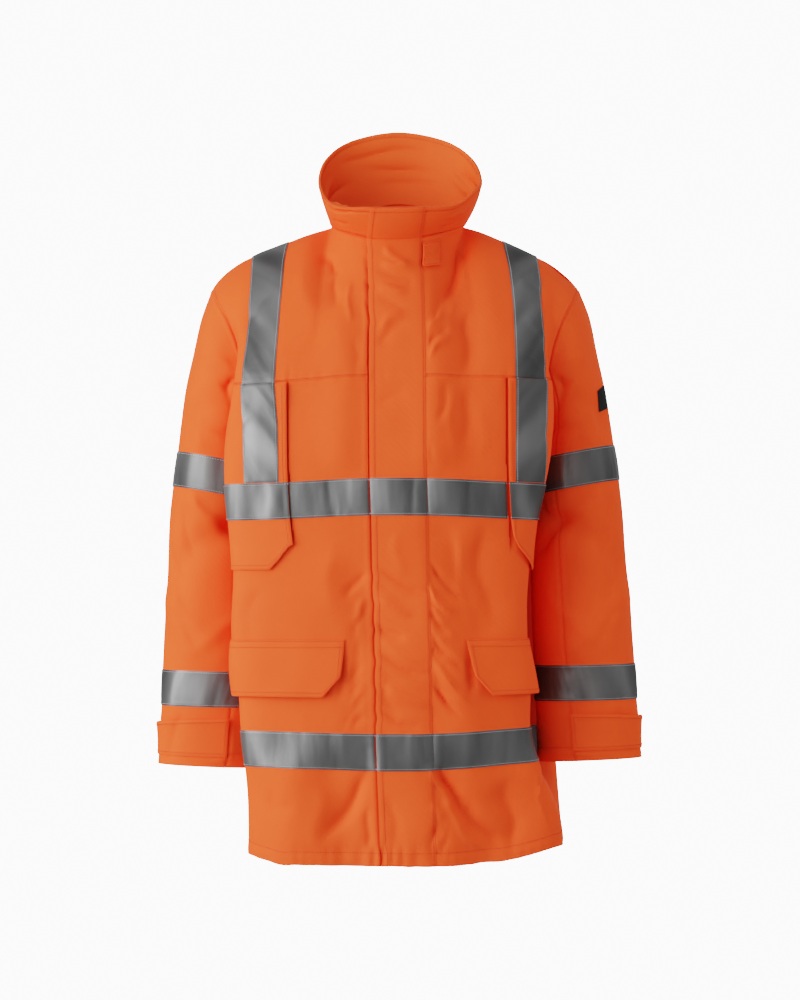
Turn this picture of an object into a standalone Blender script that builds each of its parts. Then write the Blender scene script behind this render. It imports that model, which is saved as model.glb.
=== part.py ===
"""Hi-vis work jacket, filled out as if worn, with nothing inside.

Frame: metres, +Z up, the front faces -Y and the wearer's left is +X. The origin is the
middle of the neck opening at the height of the shoulder neck points, where the wearer's
shoulders hold the jacket.

The body is one conceptual shell: front, yoke, back, collar and sleeve grids that share
their seam points and their normals. Each sewn piece is a wall cut from that shell, held
half a seam gap back from its neighbour. Tapes, flaps and straps are made from the points
of the panel that they lie on, moved out.
"""
import math

import bpy
import numpy as np

# ---------------------------------------------------------------- driving dimensions (m)
CLOTH = 0.0016          # wall of the body cloth
TAPE = 0.0010           # wall of the reflective tape
FLAP = 0.0018           # wall of the doubled flaps
SEAM_GAP = 0.0003       # between two pieces at a seam, and under what lies on a panel
SEAM_HOLD = 0.0002      # each piece's share of the gap at a seam
BENT_HOLD = 0.0004      # the same where the seam bends and the inner walls draw together
TAPE_WIDTH = 0.050
LONGEST_MITRE = 1.25    # how much longer a wall may be across a sharp fold
FACET_CLEAR = 0.2       # columns of a piece closer than this to a panel column move onto it

HEM_Z = -0.884
LOWER_TAPE_Z = -0.7056
WAIST_TAPE_Z = -0.362
HIP_FLAP_Z = (-0.579, -0.618, -0.657)
CHEST_FLAP_END_Z = -0.481
ARMPIT_Z = -0.290
YOKE_Z = -0.225

# Heights of the body's rows, hem to yoke seam.
BODY_ROWS = (HEM_Z, -0.842, -0.799, LOWER_TAPE_Z - TAPE_WIDTH, LOWER_TAPE_Z, HIP_FLAP_Z[2],
             HIP_FLAP_Z[1], HIP_FLAP_Z[0], -0.530, CHEST_FLAP_END_Z, -0.446,
             WAIST_TAPE_Z - TAPE_WIDTH, WAIST_TAPE_Z, -0.326, ARMPIT_Z, -0.258, YOKE_Z)
ROW_LOWER_TAPE = 3
ROW_HIP_FLAP = 5
ROW_CHEST_FLAP = 9
ROW_WAIST_TAPE = 11
ROW_ARMPIT = BODY_ROWS.index(ARMPIT_Z)
ROW_YOKE = len(BODY_ROWS) - 1
YOKE_STEPS = 8
ROW_TOP = ROW_YOKE + YOKE_STEPS

# Columns, centre line outwards: run along the cloth from the centre line. After the last
# one, EDGE_STEPS equal steps reach the side seam or the armhole.
FRONT_RUNS = (0.0, 0.019, 0.038, 0.057, 0.076, 0.112, 0.149, 0.161, 0.185, 0.210)
BACK_RUNS = (0.0, 0.030, 0.058, 0.084, 0.108, 0.129, 0.146, 0.160, 0.185, 0.210)
EDGE_STEPS = 4
SECTION_SAMPLES = 90    # points of the fine line that a row is measured along
COLUMN_NECK = 5         # the column that ends on the shoulder neck point
COLUMN_FLAP = 6         # the chest flap's free edge
COLUMN_BRACE = 7        # the brace tape's inner edge, two columns wide
COLUMNS = len(FRONT_RUNS) - 1 + EDGE_STEPS

# The hem rises towards the sides, rows counted from the hem; the rise is at the edge.
HEM_RISE = {"right": 0.013, "left": 0.024}
HEM_RISE_SHARES = (1.0, 0.6, 0.25)
HEM_RISE_X = 0.215

# Where columns 5 to 13 meet the shoulder seam: distance from the middle, and height.
SHOULDER_COLUMNS = ("x", "z")
SHOULDER = ((0.094, 0.0), (0.121, -0.0089), (0.150, -0.0206), (0.1755, -0.0311),
            (0.201, -0.0420), (0.219, -0.0512), (0.236, -0.0634), (0.250, -0.0765),
            (0.2585, -0.0880))

# Body sections. edge: the widest line of the front; side: the side seam, pressed in by the
# arm; back_edge: the widest line of the back. Widths are to the middle of the neck.
BODY_COLUMNS = ("z", "centre_x", "front_y", "edge_y", "side_y", "back_edge_y", "back_y",
                "edge_right", "edge_left", "side_right", "side_left",
                "back_right", "back_left")
BODY = (
    (-0.884, 0.0118, -0.150, -0.090, 0.000, 0.078, 0.137, 0.208, 0.219, 0.214, 0.226, 0.219, 0.234),
    (-0.842, 0.0103, -0.151, -0.093, 0.000, 0.080, 0.137, 0.208, 0.216, 0.208, 0.219, 0.219, 0.231),
    (-0.799, 0.0088, -0.150, -0.098, 0.002, 0.084, 0.136, 0.209, 0.200, 0.199, 0.205, 0.219, 0.228),
    (-0.756, 0.0072, -0.149, -0.103, 0.004, 0.086, 0.134, 0.212, 0.187, 0.184, 0.184, 0.218, 0.225),
    (-0.706, 0.0060, -0.149, -0.105, 0.006, 0.088, 0.132, 0.217, 0.179, 0.181, 0.176, 0.216, 0.219),
    (-0.657, 0.0056, -0.150, -0.106, 0.008, 0.090, 0.130, 0.219, 0.180, 0.181, 0.175, 0.214, 0.213),
    (-0.579, 0.0057, -0.152, -0.107, 0.010, 0.093, 0.128, 0.228, 0.177, 0.180, 0.173, 0.211, 0.208),
    (-0.481, 0.0050, -0.154, -0.108, 0.012, 0.097, 0.126, 0.224, 0.181, 0.180, 0.173, 0.208, 0.205),
    (-0.412, 0.0047, -0.156, -0.109, 0.012, 0.099, 0.126, 0.227, 0.191, 0.180, 0.174, 0.207, 0.204),
    (-0.362, 0.0032, -0.158, -0.110, 0.010, 0.100, 0.126, 0.230, 0.202, 0.182, 0.178, 0.208, 0.206),
    (-0.290, 0.0026, -0.158, -0.108, 0.000, 0.098, 0.126, 0.229, 0.214, 0.198, 0.198, 0.214, 0.214),
    (-0.225, 0.0021, -0.152, -0.104, -0.070, 0.094, 0.124, 0.220, 0.213, 0.2085, 0.2085, 0.218, 0.218),
)
FRONT_SQUARENESS = 2.7
BACK_SQUARENESS = 2.5

# How a yoke column leaves the yoke seam and reaches the top edge: metres inwards and up.
# Between the two columns of YOKE_TURN the end changes from the neck's to the shoulder's.
YOKE_START = (0.010, 0.170)
YOKE_END_NECK = (0.020, 0.150)
YOKE_END_SHOULDER = (0.175, 0.035)
YOKE_TURN = (2, 6)

# Armhole, armpit to shoulder point: front half; the back half is deeper by ARMHOLE_BACK.
ARMHOLE_COLUMNS = ("z", "x", "y")
ARMHOLE = (
    (-0.290, 0.1980, 0.000),
    (-0.258, 0.2015, -0.050),
    (-0.225, 0.2085, -0.070),
    (-0.197, 0.2135, -0.074),
    (-0.165, 0.2220, -0.070),
    (-0.135, 0.2350, -0.060),
    (-0.106, 0.2510, -0.035),
    (-0.088, 0.2585, 0.000),
)
ARMHOLE_BACK = 1.10

# Neck seam and collar rim: angle from the front middle, half width, y and z.
RING_COLUMNS = ("angle", "x", "y", "z")
NECK_SEAM = (
    (0, 0.0000, -0.0850, -0.0300),
    (18, 0.0340, -0.0815, -0.0275),
    (36, 0.0610, -0.0700, -0.0205),
    (54, 0.0810, -0.0500, -0.0120),
    (72, 0.0910, -0.0260, -0.0040),
    (90, 0.0940, 0.0000, 0.0000),
    (120, 0.0860, 0.0360, 0.0130),
    (150, 0.0520, 0.0640, 0.0330),
    (180, 0.0000, 0.0750, 0.0450),
)
COLLAR_RIM = (
    (0, 0.0000, -0.1150, 0.0080),
    (18, 0.0420, -0.1120, 0.0085),
    (36, 0.0800, -0.0970, 0.0115),
    (54, 0.1020, -0.0730, 0.0250),
    (72, 0.1125, -0.0490, 0.0440),
    (90, 0.1157, -0.0150, 0.0640),
    (120, 0.1036, 0.0436, 0.1060),
    (150, 0.0679, 0.0745, 0.1365),
    (180, 0.0000, 0.0850, 0.1510),
)
COLLAR_STEPS = 4
COLLAR_BELLY = 0.003    # the stand collar bows outwards at half height
COLLAR_MIDDLE_Y = -0.010

# Sleeve rings, armhole to cuff: outer and under points, middle depth, half depth.
SLEEVE_COLUMNS = ("outer_x", "outer_z", "under_x", "under_z", "mid_y", "half_y")
SLEEVE = (
    (0.2585, -0.088, 0.1980, -0.290, 0.000, 0.076),
    (0.2745, -0.130, 0.2060, -0.303, 0.004, 0.080),
    (0.2855, -0.180, 0.2060, -0.313, 0.008, 0.080),
    (0.2950, -0.224, 0.2020, -0.321, 0.011, 0.079),
    (0.3025, -0.268, 0.1975, -0.328, 0.014, 0.077),
    (0.3090, -0.312, 0.1940, -0.334, 0.016, 0.075),
    (0.3160, -0.361, 0.1915, -0.383, 0.017, 0.070),
    (0.3215, -0.411, 0.1900, -0.429, 0.017, 0.066),
    (0.3250, -0.462, 0.1895, -0.475, 0.016, 0.063),
    (0.3285, -0.514, 0.1895, -0.523, 0.014, 0.060),
    (0.3310, -0.567, 0.1900, -0.572, 0.011, 0.056),
    (0.3335, -0.619, 0.1910, -0.622, 0.008, 0.052),
    (0.3355, -0.669, 0.1920, -0.672, 0.005, 0.048),
    (0.3375, -0.693, 0.1930, -0.697, 0.003, 0.046),
    (0.3400, -0.738, 0.1940, -0.742, 0.001, 0.043),
    (0.3415, -0.751, 0.1945, -0.757, 0.000, 0.042),
)
SLEEVE_SQUARENESS = 2.2
RING_UPPER_TAPE = 5
RING_LOWER_TAPE = 11
RING_STRAP = 13
SLEEVE_SETTLES = 4      # rings over which the armhole's own shape fades out
SLEEVE_DROP = {"right": -0.005, "left": 0.004}
UNDER_HALF = 3          # ring columns from the under point to each sleeve seam
UNDER_SPREAD = 22.0     # degrees that the sleeve seams turn outwards by the cuff

# The whole jacket sits a little to the wearer's right at the shoulders.
LEAN_COLUMNS = ("z", "x")
LEAN = ((-0.884, 0.0), (-0.740, 0.0), (-0.400, -0.0055), (-0.100, -0.006),
        (-0.020, -0.0065), (0.005, -0.003), (0.151, -0.002))

# Largest folds of the body: a line from one end to the other, half width, height above
# the cloth (minus is a trough). Rows are x1, z1, x2, z2, width, height.
FOLD_COLUMNS = ("x1", "z1", "x2", "z2", "width", "height")
FRONT_FOLDS = (
    (-0.100, -0.020, -0.085, -0.110, 0.022, -0.007),
    (0.085, -0.030, 0.070, -0.130, 0.024, -0.006),
    (-0.190, -0.150, -0.235, -0.200, 0.024, -0.006),
    (0.190, -0.150, 0.225, -0.200, 0.024, -0.006),
    (0.055, -0.110, 0.050, -0.330, 0.022, 0.005),
    (0.100, -0.110, 0.100, -0.330, 0.024, -0.004),
    (-0.070, -0.110, -0.075, -0.330, 0.024, 0.004),
    (-0.060, -0.500, -0.030, -0.570, 0.026, -0.005),
    (0.060, -0.440, 0.110, -0.560, 0.026, -0.005),
    (0.055, -0.560, 0.100, -0.720, 0.028, 0.005),
    (-0.090, -0.760, -0.070, -0.880, 0.028, -0.007),
    (0.060, -0.760, 0.110, -0.880, 0.026, -0.008),
    (0.185, -0.760, 0.217, -0.884, 0.022, 0.006),
    (-0.150, -0.770, -0.155, -0.884, 0.030, 0.006),
)
BACK_FOLDS = (
    (-0.180, -0.140, -0.150, -0.330, 0.028, -0.006),
    (0.180, -0.140, 0.150, -0.330, 0.028, -0.006),
    (-0.080, -0.430, -0.110, -0.700, 0.030, -0.006),
    (0.060, -0.420, 0.100, -0.680, 0.030, -0.006),
    (-0.140, -0.760, -0.130, -0.884, 0.030, 0.007),
    (0.000, -0.740, 0.010, -0.884, 0.034, -0.007),
    (0.140, -0.760, 0.150, -0.884, 0.030, 0.007),
)

# Largest folds of the sleeves on the cloth laid flat: x runs round from the under seam by
# the front, z down from the armhole.
SLEEVE_FOLDS = (
    (0.070, -0.070, 0.145, -0.180, 0.022, -0.006),
    (0.070, -0.315, 0.165, -0.390, 0.020, -0.006),
    (0.165, -0.405, 0.070, -0.470, 0.020, 0.005),
    (0.330, -0.330, 0.245, -0.405, 0.022, -0.006),
    (0.330, -0.090, 0.265, -0.200, 0.022, -0.005),
)
SLEEVE_GIRTH = 0.40
SLEEVE_RING_PITCH = 0.045

STORM_FLAP_HALF = 0.038
STORM_FLAP_LIFT = 0.0022
STORM_FLAP_CLEAR = 0.0008
CHEST_FLAP_CLEAR = 0.0006
CHEST_FLAP_LIFT = 0.0036
CHEST_FLAP_TOP_SHARE = 0.25     # part of the lift at the yoke seam
HIP_FLAP_INNER = {"right": 0.080, "left": 0.090}
HIP_FLAP_LIFT = 0.005
HIP_FLAP_END_SHARE = 0.4        # part of the lift at its two ends
HIP_FLAP_RUN = 0.165
HIP_FLAP_CHAMFER = 0.024
HIP_FLAP_CORNER = 0.70  # rows cut off its lower inner corner
FLAP_TUCK = 0.02        # part of a row left between the yoke seam and the chest flap
# Rows cut off the chest flap's lower inner corner, and off the next point above it.
CHEST_FLAP_CORNER = (0.95, 0.50, 0.0, 0.0, 0.0)
CHEST_FLAP_CORNER_ABOVE = 0.45
ZIP_HALF = 0.014
ZIP_WALL = 0.0012
ZIP_END = 0.004         # the zip stops short of the neck seam
STRAP_WALL = 0.0020
TAB_WIDTH = 0.030
LABEL_WALL = 0.0008
LABEL_RINGS = (3.0, 3.7)
LABEL_TURNS = (7.6, 8.0, 8.8)

COLOURS = {
    "cloth": (0.76, 0.165, 0.045),
    "cloth_shade": (0.60, 0.095, 0.030),
    "tape": (0.42, 0.43, 0.45),
    "black": (0.012, 0.012, 0.013),
}
SIDES = {"right": -1.0, "left": 1.0}


# ---------------------------------------------------------------- smooth tables
def smooth_table(columns, rows):
    """Named functions of the first column, each a smooth curve through its rows."""
    table = np.array(sorted(rows), dtype=float)
    keys = table[:, 0]
    gaps = np.diff(keys)
    curves = {}
    for number, name in enumerate(columns[1:], start=1):
        values = table[:, number]
        rises = np.diff(values) / gaps
        slopes = np.concatenate(([rises[0]], np.zeros(len(keys) - 2), [rises[-1]]))
        for k in range(1, len(keys) - 1):
            slopes[k] = (rises[k - 1] * gaps[k] + rises[k] * gaps[k - 1]) / (gaps[k - 1] + gaps[k])
        curves[name] = (values, slopes)

    def read(key, name):
        values, slopes = curves[name]
        spot = min(max(key, keys[0]), keys[-1])
        k = min(int(np.searchsorted(keys, spot, side="right")) - 1, len(gaps) - 1)
        t = (spot - keys[k]) / gaps[k]
        rise = values[k + 1] - values[k]
        start = slopes[k] * gaps[k]
        end = slopes[k + 1] * gaps[k]
        return values[k] + t * (start + t * (3 * rise - 2 * start - end + t * (start + end - 2 * rise)))

    return read


body_at = smooth_table(BODY_COLUMNS, BODY)
armhole_at = smooth_table(ARMHOLE_COLUMNS, ARMHOLE)
neck_at = smooth_table(RING_COLUMNS, NECK_SEAM)
rim_at = smooth_table(RING_COLUMNS, COLLAR_RIM)
lean_at = smooth_table(LEAN_COLUMNS, LEAN)


def eased(values, start, end):
    """0 up to start and 1 from end on, with a smooth rise between."""
    share = np.clip((values - start) / (end - start), 0, 1)
    return share * share * (3 - 2 * share)


def unit(vectors):
    """Vectors of length one."""
    lengths = np.linalg.norm(vectors, axis=-1, keepdims=True)
    return vectors / np.maximum(lengths, 1e-12)


# ---------------------------------------------------------------- body sections
def armhole_point(side, face, z):
    """A point of the armhole at a height, on the front or the back half."""
    depth = armhole_at(z, "y") * (1.0 if face == "front" else -ARMHOLE_BACK)
    return np.array([SIDES[side] * armhole_at(z, "x"), depth, z])


def side_point(side, face, z):
    """Where a row ends: on the side seam, or above the armpit on the armhole."""
    if z > ARMPIT_Z + 1e-6:
        return armhole_point(side, face, z)
    return np.array([SIDES[side] * body_at(z, "side_" + side), body_at(z, "side_y"), z])


def section_line(side, face, z):
    """One row of the body as a fine line from the centre line to its end."""
    sign = SIDES[side]
    end = side_point(side, face, z)
    if face == "front":
        wide = body_at(z, "edge_" + side)
        edge_y = body_at(z, "edge_y")
        middle_y = body_at(z, "front_y")
        power = FRONT_SQUARENESS
        start = math.asin(sign * body_at(z, "centre_x") / wide)
    else:
        wide = body_at(z, "back_" + side)
        edge_y = body_at(z, "back_edge_y")
        middle_y = body_at(z, "back_y")
        power = BACK_SQUARENESS
        start = 0.0
    angles = np.linspace(start, math.pi / 2, SECTION_SAMPLES)
    sines = np.abs(np.sin(angles))
    flat_x = sign * wide * np.sin(angles)
    flat_y = edge_y + (middle_y - edge_y) * (1 - sines ** power) ** (1 / power)
    steps = np.linspace(0, 1, SECTION_SAMPLES // 2)[1:]
    blend = (1 - np.cos(math.pi * steps)) / 2
    turn_x = sign * wide + (end[0] - sign * wide) * blend
    turn_y = edge_y + (end[1] - edge_y) * steps
    x = np.concatenate((flat_x, turn_x))
    y = np.concatenate((flat_y, turn_y))
    return np.stack((x, y, np.full_like(x, z)), axis=1)


def along_line(line, distances):
    """Points at distances along a fine line."""
    runs = np.concatenate(([0.0], np.cumsum(np.linalg.norm(np.diff(line, axis=0), axis=1))))
    return np.stack([np.interp(distances, runs, line[:, axis]) for axis in range(3)], axis=1)


def row_points(side, face, z):
    """The grid points of one row of the body."""
    line = section_line(side, face, z)
    total = np.linalg.norm(np.diff(line, axis=0), axis=1).sum()
    runs = FRONT_RUNS if face == "front" else BACK_RUNS
    edge_runs = np.linspace(runs[-1], total, EDGE_STEPS + 1)[1:]
    return along_line(line, np.concatenate((runs, edge_runs)))


def top_points(side, face):
    """The top edge of a front or back: the neck seam, then the shoulder seam."""
    sign = SIDES[side]
    points = []
    for column in range(COLUMN_NECK):
        angle = 90.0 * column / COLUMN_NECK
        if face == "back":
            angle = 180.0 - angle
        points.append((sign * neck_at(angle, "x"), neck_at(angle, "y"), neck_at(angle, "z")))
    for x, z in SHOULDER:
        points.append((sign * x, 0.0, z))
    return np.array(points)


def yoke_rows(side, face, first_row):
    """Rows from the yoke seam up over the chest or shoulder blades to the top edge."""
    top = top_points(side, face)
    forward = -1.0 if face == "front" else 1.0
    rows = []
    columns = np.arange(COLUMNS + 1)
    over = eased(columns, *YOKE_TURN)
    pull = eased(columns, COLUMN_BRACE, COLUMNS)[:, None]
    leave = np.array([0.0, -forward * YOKE_START[0], YOKE_START[1]])
    inward = YOKE_END_NECK[0] + (YOKE_END_SHOULDER[0] - YOKE_END_NECK[0]) * over
    upward = YOKE_END_NECK[1] + (YOKE_END_SHOULDER[1] - YOKE_END_NECK[1]) * over
    arrive = np.stack((np.zeros(COLUMNS + 1), -forward * inward, upward), axis=1)
    for step in range(1, YOKE_STEPS + 1):
        t = step / YOKE_STEPS
        held = 2 * t ** 3 - 3 * t ** 2 + 1
        reached = 1 - held
        line = (held * first_row + reached * top + (t ** 3 - 2 * t ** 2 + t) * leave
                + (t ** 3 - t ** 2) * arrive)
        edge_z = YOKE_Z + (ARMHOLE[-1][0] - YOKE_Z) * t
        line = line + pull * (armhole_point(side, face, edge_z) - line[-1])
        rows.append(line)
    rows[-1] = top
    return rows


def half_grid(side, face):
    """All rows of a half front or half back, hem to top edge."""
    rows = [row_points(side, face, z) for z in BODY_ROWS]
    for row, share in zip(rows, HEM_RISE_SHARES):
        row[:, 2] += HEM_RISE[side] * share * np.minimum(np.abs(row[:, 0]) / HEM_RISE_X, 1) ** 4
    rows += yoke_rows(side, face, rows[-1])
    return np.array(rows)


# ---------------------------------------------------------------- collar and sleeves
def collar_grid():
    """The stand collar from the front middle round the wearer's right side and back."""
    angles = [90.0 * k / COLUMN_NECK for k in range(2 * COLUMN_NECK + 1)]
    turns = [(-1.0, angle) for angle in angles] + [(1.0, angle) for angle in angles[-2::-1]]
    rows = []
    for step in range(COLLAR_STEPS + 1):
        t = step / COLLAR_STEPS
        row = []
        for sign, angle in turns:
            seam = np.array([sign * neck_at(angle, "x"), neck_at(angle, "y"), neck_at(angle, "z")])
            rim = np.array([sign * rim_at(angle, "x"), rim_at(angle, "y"), rim_at(angle, "z")])
            outward = unit(np.array([rim[0], rim[1] - COLLAR_MIDDLE_Y, 0.0]))
            row.append(seam + (rim - seam) * t + outward * COLLAR_BELLY * 4 * t * (1 - t))
        rows.append(row)
    return np.array(rows)


def armhole_loop(side, fronts, backs):
    """The armhole's grid points: armpit, up the front, over, and down the back."""
    front = fronts[side][ROW_ARMPIT:, -1]
    back = backs[side][ROW_ARMPIT:, -1]
    return np.concatenate((front, back[-2:0:-1]))


def sleeve_grid(side, loop):
    """Rings from the armhole to the cuff; the first column is the armpit."""
    sign = SIDES[side]
    count = len(loop)
    turns = 2 * math.pi * np.arange(count) / count
    power = 2 / SLEEVE_SQUARENESS
    rings = []
    for number, values in enumerate(SLEEVE):
        row = dict(zip(SLEEVE_COLUMNS, values))
        part = number / (len(SLEEVE) - 1)
        drop = SLEEVE_DROP[side] * min(1.0, number / RING_UPPER_TAPE)
        angle = turns + math.radians(UNDER_SPREAD) * part * np.sin(turns)
        cosine = np.sign(np.cos(angle)) * np.abs(np.cos(angle)) ** power
        sine = np.sign(np.sin(angle)) * np.abs(np.sin(angle)) ** power
        outer = np.array([sign * row["outer_x"], row["mid_y"], row["outer_z"] + drop])
        under = np.array([sign * row["under_x"], row["mid_y"], row["under_z"] + drop])
        ring = (outer + under) / 2 + np.outer(cosine, (under - outer) / 2)
        ring[:, 1] -= row["half_y"] * sine
        rings.append(ring)
    own_shape = loop - rings[0]
    for number in range(SLEEVE_SETTLES):
        fade = (1 - number / SLEEVE_SETTLES) ** 2
        rings[number] = rings[number] + fade * own_shape
    return np.array(rings)


# ---------------------------------------------------------------- folds and normals
def fold_height(x, z, folds):
    """Height of a table of straight soft folds at places (x, z) of a flat drawing."""
    height = np.zeros(np.shape(x))
    for values in folds:
        fold = dict(zip(FOLD_COLUMNS, values))
        run_x = fold["x2"] - fold["x1"]
        run_z = fold["z2"] - fold["z1"]
        from_x = x - fold["x1"]
        from_z = z - fold["z1"]
        along = np.clip((from_x * run_x + from_z * run_z) / (run_x ** 2 + run_z ** 2), 0, 1)
        away = np.hypot(from_x - along * run_x, from_z - along * run_z)
        height += fold["height"] * np.exp(-(away / fold["width"]) ** 2)
    return height


def shell_normals(grids, closed):
    """Vertex normals of several grids whose shared points share one normal.

    Also gives how much longer a wall's thickness is across a fold, point by point.
    """
    sums = {}
    for name, grid in grids.items():
        wide = np.concatenate((grid, grid[:, :1]), axis=1) if closed[name] else grid
        low_left = wide[:-1, :-1]
        low_right = wide[:-1, 1:]
        high_left = wide[1:, :-1]
        high_right = wide[1:, 1:]
        normal = np.cross(high_right - low_left, high_left - low_right)
        normal = normal * OUTWARD[name]
        for r, c in np.ndindex(normal.shape[:2]):
            for corner in (wide[r, c], wide[r, c + 1], wide[r + 1, c], wide[r + 1, c + 1]):
                key = tuple(np.round(corner, 6))
                sums.setdefault(key, []).append(normal[r, c])
    normals = {}
    mitres = {}
    for name, grid in grids.items():
        normals[name] = np.zeros_like(grid)
        mitres[name] = np.ones(grid.shape[:2])
        for r, c in np.ndindex(grid.shape[:2]):
            around = np.array(sums[tuple(np.round(grid[r, c], 6))])
            mean = unit(around.sum(axis=0))
            lean = float(np.mean(unit(around) @ mean))
            normals[name][r, c] = mean
            mitres[name][r, c] = min(LONGEST_MITRE, 1 / max(lean, 0.1))
    return normals, mitres


# Which way round each grid is laid: 1 where columns then rows give an outward face.
OUTWARD = {
    "front_right": -1, "front_left": 1, "back_right": 1, "back_left": -1,
    "sleeve_right": 1, "sleeve_left": -1, "collar": -1,
}


class Panel:
    """A grid of the shell's outer points with their normals."""

    def __init__(self, points, normals, mitres):
        self.points = points
        self.normals = normals
        self.mitres = mitres

    def cut(self, row_start, row_end, column_start, column_end):
        """A rectangular piece of the panel, ends included."""
        area = (slice(row_start, row_end + 1), slice(column_start, column_end + 1))
        return Panel(self.points[area], self.normals[area], self.mitres[area])

    def places(self, rows, columns):
        """Points at fractional rows and columns, on the panel's own facets."""
        points = np.zeros(rows.shape + (3,))
        normals = np.zeros(rows.shape + (3,))
        mitres = np.zeros(rows.shape)
        for spot in np.ndindex(rows.shape):
            r = min(int(rows[spot]), self.points.shape[0] - 2)
            c = min(int(columns[spot]), self.points.shape[1] - 2)
            up = rows[spot] - r
            over = columns[spot] - c
            cell = (np.array([r, r, r + 1, r + 1]), np.array([c, c + 1, c + 1, c]))
            if ridge_first(self.points[cell], self.normals[cell].sum(axis=0)):
                both = min(up, over)
                shares = np.array([1 - max(up, over), over - both, both, up - both])
            elif up + over <= 1:
                shares = np.array([1 - up - over, over, 0, up])
            else:
                shares = np.array([0, 1 - up, up + over - 1, 1 - over])
            points[spot] = shares @ self.points[cell]
            normals[spot] = shares @ self.normals[cell]
            mitres[spot] = shares @ self.mitres[cell]
        return Panel(points, unit(normals), mitres)

    def joined(self, other):
        """This panel with another to its right, sharing one column."""
        return Panel(np.concatenate((self.points, other.points[:, 1:]), axis=1),
                     np.concatenate((self.normals, other.normals[:, 1:]), axis=1),
                     np.concatenate((self.mitres, other.mitres[:, 1:]), axis=1))

    def mirrored(self):
        """The same panel with its columns the other way round."""
        return Panel(self.points[:, ::-1], self.normals[:, ::-1], self.mitres[:, ::-1])

    def moved_out(self, distance):
        """The panel's points moved along their normals; distance may vary."""
        shift = np.broadcast_to(distance, self.points.shape[:2])[..., None]
        return self.points + self.normals * shift * self.mitres[..., None]


def held_back(points, edges, gap=SEAM_HOLD):
    """The grid with the named edges pulled in by half a seam gap."""
    points = points.copy()
    pairs = {"low": (np.s_[0], np.s_[1]), "high": (np.s_[-1], np.s_[-2]),
             "start": (np.s_[:, 0], np.s_[:, 1]), "end": (np.s_[:, -1], np.s_[:, -2])}
    for edge in edges:
        border, inner = pairs[edge]
        points[border] = points[border] + unit(points[inner] - points[border]) * gap
    return points


# ---------------------------------------------------------------- making solids
def finish(name, colour, rough):
    """A plain Principled material."""
    material = bpy.data.materials.new(name)
    material.use_nodes = True
    shader = material.node_tree.nodes["Principled BSDF"]
    shader.inputs["Base Color"].default_value = (*COLOURS[colour], 1.0)
    shader.inputs["Roughness"].default_value = rough
    shader.inputs["Metallic"].default_value = 0.0
    return material


def ridge_first(corners, outward):
    """Whether the diagonal from the first corner is the one that stands further out."""
    return (corners[0] + corners[2] - corners[1] - corners[3]) @ outward >= 0


def solid(name, outer, inner, colour, rough=0.8, ring=False):
    """A closed wall between an outer and an inner grid of points."""
    rows, columns = outer.shape[:2]
    vertices = np.concatenate((outer.reshape(-1, 3), inner.reshape(-1, 3)))
    offset = rows * columns
    faces = []
    spans = columns if ring else columns - 1
    for r in range(rows - 1):
        for c in range(spans):
            corners = [r * columns + c, r * columns + (c + 1) % columns,
                       (r + 1) * columns + (c + 1) % columns, (r + 1) * columns + c]
            outward = vertices[corners].mean(axis=0) - vertices[np.add(corners, offset)].mean(axis=0)
            for base in (0, offset):
                a, b, c2, d = [base + corner for corner in corners]
                if ridge_first(vertices[[a, b, c2, d]], outward):
                    pair = [[a, b, c2], [a, c2, d]]
                else:
                    pair = [[a, b, d], [b, c2, d]]
                faces += pair if base == 0 else [face[::-1] for face in pair]
    border = [(c, (c + 1) % columns) for c in range(spans)]
    border += [((rows - 1) * columns + b, (rows - 1) * columns + a) for a, b in border]
    if not ring:
        border += [((r + 1) * columns, r * columns) for r in range(rows - 1)]
        border += [(r * columns + columns - 1, (r + 1) * columns + columns - 1)
                   for r in range(rows - 1)]
    faces += [[b, a, offset + a, offset + b] for a, b in border]
    mesh = bpy.data.meshes.new(name)
    mesh.from_pydata([tuple(v) for v in vertices], [], faces)
    first = faces[0]
    normal = np.cross(vertices[first[1]] - vertices[first[0]], vertices[first[2]] - vertices[first[1]])
    if np.dot(normal, vertices[first[0]] - vertices[offset + first[0]]) < 0:
        mesh.flip_normals()
    mesh.shade_smooth()
    mesh.set_sharp_from_angle(angle=math.radians(50))
    mesh.materials.append(finish(name + "_finish", colour, rough))
    piece = bpy.data.objects.new(name, mesh)
    bpy.context.scene.collection.objects.link(piece)
    return piece


def cloth_wall(name, panel, edges, colour="cloth", depth=0.0, hold=SEAM_HOLD):
    """A cut of the shell itself, its outer face sunk by depth."""
    outer = held_back(panel.moved_out(-depth), edges, hold)
    inner = held_back(panel.moved_out(-depth - CLOTH), edges, hold)
    return solid(name, outer, inner, colour)


def trim(name, panel, clear, wall, colour="tape", ring=False, rough=0.8):
    """A piece lying on a panel: clear above it, which may vary, and wall thick."""
    return solid(name, panel.moved_out(np.asarray(clear) + wall), panel.moved_out(clear),
                 colour, rough, ring)


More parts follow.
